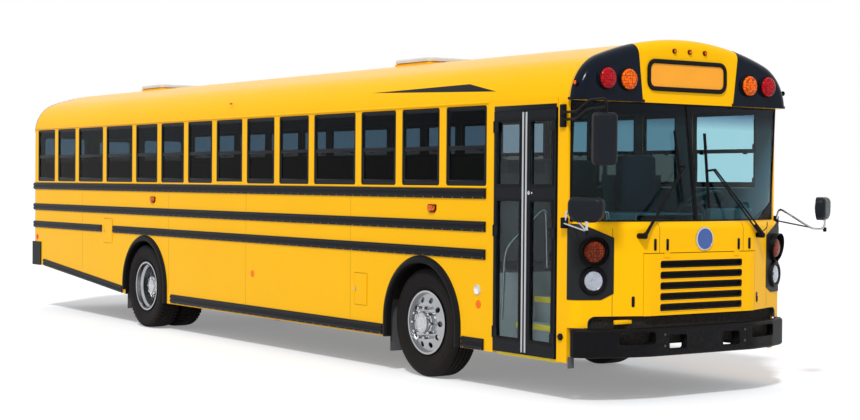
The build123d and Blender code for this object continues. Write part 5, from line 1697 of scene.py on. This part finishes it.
def makeStopArm():
    parts = defaultdict(bmesh.new)
    plates, half, thick = parts["stop_arm_plates"], stopArm["half"], stopArm["thick"]
    middle = onSide(1) @ shift(stopArm["y"], stopArm["z"], stopArm["x"])
    addPart(parts["stop_face"], platePart(octagon(half - 0.012), thick), middle)
    addPart(parts["stop_border"], rimPart(octagon(half), stopArm["border"], thick + 0.0015, 0),
            middle @ shift(z=-0.00075))
    for z in (-stopArm["lampOff"], stopArm["lampOff"]):
        for turn in (identity, throughMirror):
            spot = middle @ shift(y=z, z=thick / 2) @ turn
            addPart(parts["stop_lamps"], lensPart(0.045, 0.020, 0.006, 28), spot)
            addPart(plates, turnedPart(stopArm["lampRing"], 28), spot)
    addBlocks(plates, identity, *stopArm["blocks"])
    addPart(plates, rodPart((1.267, 2.140, 1.500), (1.267, 2.140, 1.620), 0.014, 20))
    for y in (2.19, 2.27):
        for z in (1.53, 1.59):
            addPart(plates, rodPart((1.288, y, z), (1.2935, y, z), 0.007, 6))
    placePieces(parts, stopArm["pieces"])


makeStopArm()
print("rear done")

lowFront = {
    "boltXs": (-0.470, 0.470),
    "boltZs": (0.470, 0.565),
    "slotHalf": 0.472,
    "slotHigh": 0.043,
    "slotPitch": 0.0897,
    "slotTop": 1.166,
    "slots": 5,
    # painted shade: black rings inside the grille's slots and a black plate behind them make the slots read
    # dark
    "shade": (0.022, 0.0125, 0.029, 0.001),  # corner, width, thickness and edge
    "lip": (0.026, 0.0065, 0.007, 0.003),
    "shadePlate": ((-0.50, 0.50), (0.030, 0.034), (0.745, 1.185), 0),
    "stays": ((-0.900, -0.720), (0.080, 0.110), (0.655, 0.690), 0.006),
    "cornerFlap": ((-1.216, -1.150), (0.306, 0.314), (0.290, 0.385)),
    "towWindow": ((0.209, 0.415), (0.437, 0.563)),
    "towRim": (0.023, 0.004, 0.003, 0.001),
    "sheetBend": [(-1.10, 0.235), (-0.64, 0.050), (0.64, 0.050), (1.10, 0.235)],
    "pieces": {
        "bumper_bolts": ("castSteel", "steel_dark"),
        "grille_lips": ("schoolYellow", "paint_yellow", "grille_flap"),
        "grille_shades": ("deepShade", "frame_black", "grille_flap"),
        "grille_shade_plate": ("deepShade", "frame_black", "grille_flap"),
        "front_shade_sheet": ("deepShade", "frame_black"),
        "bumper_stays": ("schoolYellow", "paint_yellow"),
        "tow_window_rims": ("satinBlack", "paint_black"),
        "corner_flap": ("flapGrey", "trim_rubber"),
        "cheek_screws": ("schoolYellow", "paint_yellow"),
    },
}


def makeLowFront():
    parts = defaultdict(bmesh.new)
    for x in lowFront["boltXs"]:
        for z in lowFront["boltZs"]:
            addPart(parts["bumper_bolts"], rodPart((x, -0.058, z), (x, -0.045, z), 0.011, 6))
    for row in range(lowFront["slots"]):
        top = lowFront["slotTop"] - row * lowFront["slotPitch"]
        xs = grown((0.0, 0.0), lowFront["slotHalf"] + 0.010)
        zs = grown((top - lowFront["slotHigh"], top), 0.010)
        addPart(parts["grille_shades"], ringPart(xs, zs, *lowFront["shade"]), onFront @ shift(z=-0.0275))
        lip = ringPart(grown(xs, 0.006), grown(zs, 0.006), *lowFront["lip"])
        addPart(parts["grille_lips"], lip, onFront @ shift(z=-0.002))
    # a black plate behind the grille's slots, painted shade
    addBlocks(parts["grille_shade_plate"], identity, lowFront["shadePlate"])
    # a black sheet behind the bumper, painted shade in the gap under the cowl
    bend = lowFront["sheetBend"]
    outline = bend + [(x, y + 0.006) for x, y in reversed(bend)]
    addPart(parts["front_shade_sheet"], platePart(outline, 0.300), shift(z=0.475))
    addBlocks(parts["bumper_stays"], identity, lowFront["stays"])
    addBlocks(parts["corner_flap"], identity, lowFront["cornerFlap"])
    towXs, towZs = lowFront["towWindow"]
    for side in (-1, 1):
        rim = ringPart(sideSpan(side, *towXs), towZs, *lowFront["towRim"])
        addPart(parts["tow_window_rims"], rim, onFront @ shift(z=0.0475))
        for x, z in nose["screws"]:
            addPart(parts["cheek_screws"], studPart(0.006, 0.005, 0.003), onCheek(side, x, z))
    placePieces(parts, lowFront["pieces"])


makeLowFront()

hatches = {"places": {"hatch_front": 3.900, "hatch_rear": 10.090}, "ribs": (-0.15, 0.0, 0.15)}


def makeHatches():
    for name, y in hatches["places"].items():
        bm = bmesh.new()
        addBlocks(bm, identity, *[(grown((x, x), 0.020), grown((y, y), 0.22), (3.0860, 3.0899), 0.0015)
                                  for x in hatches["ribs"]])
        placePiece(f"{name}_ribs", bm, "hatchWhite", "cabin_plastic", name)


makeHatches()

driver = {
    "x": 0.760,
    "y": 1.180,
    "cushion": (0.470, 0.450, 0.105, 0.014),  # wide, deep, thick and crown
    "back": (0.450, 0.660, 0.105, 0.012),
    "folds": 6,
    "foldPitch": 0.052,
    "hood": ((0.500, 1.020), (0.400, 0.470), (1.495, 1.600), 0.012, 3),
    "dials": (0.62, 0.76, 0.90),
    "dial": [(0.040, 0.0), (0.040, 0.006), (0.036, 0.008), (0.034, 0.004)],
    "pieces": {
        "driver_seat_base": ("cabinGrey", "cabin_plastic"),
        "dash_cover": ("cabinGrey", "cabin_plastic"),
        "instrument_hood": ("cabinGrey", "cabin_plastic"),
        "dials": ("chrome", "cabin_plastic"),
    },
}


def makeDriverArea():
    parts = defaultdict(bmesh.new)
    pads, x, y = bmesh.new(), driver["x"], driver["y"]
    addPart(pads, cushionPart(*driver["cushion"]), shift(x, y + 0.230, 1.445))
    addPart(pads, cushionPart(*driver["back"]), shift(x, y + 0.490, 1.765) @ onFront)
    placePad("driver_pads", pads, ["driver_seat"])
    bellows = [(0.165, 0.0), (0.165, 0.010)]
    for fold in range(driver["folds"]):
        up = driver["foldPitch"] * fold
        bellows += [(0.150, 0.040 + up), (0.165, 0.066 + up)]
    addPart(parts["driver_seat_base"], discPart(0.0, bellows + [(0.150, 0.360)], 0.360, 28),
            shift(x, y + 0.23, 1.026))
    addPart(parts["driver_seat_base"], rodPart((x - 0.20, y + 0.44, 1.42), (x - 0.20, y + 0.44, 1.48),
                                               0.02, 12, 0.004))
    edge = [(step / 20, glassPlace(step / 20, 1.506).y + 0.018) for step in range(-23, 24)]
    cover = platePart(edge + [(1.15, 0.400), (-1.15, 0.400)], 0.004)
    addPart(parts["dash_cover"], cover, shift(z=1.5005))
    addBlocks(parts["instrument_hood"], identity, driver["hood"])
    for dialX in driver["dials"]:
        dial = discPart(0.0, driver["dial"], 0.004, 24)
        addPart(parts["dials"], dial, onRear @ shift(-dialX, 1.550, 0.470))
    placePieces(parts, driver["pieces"])


makeDriverArea()
print("extras done")
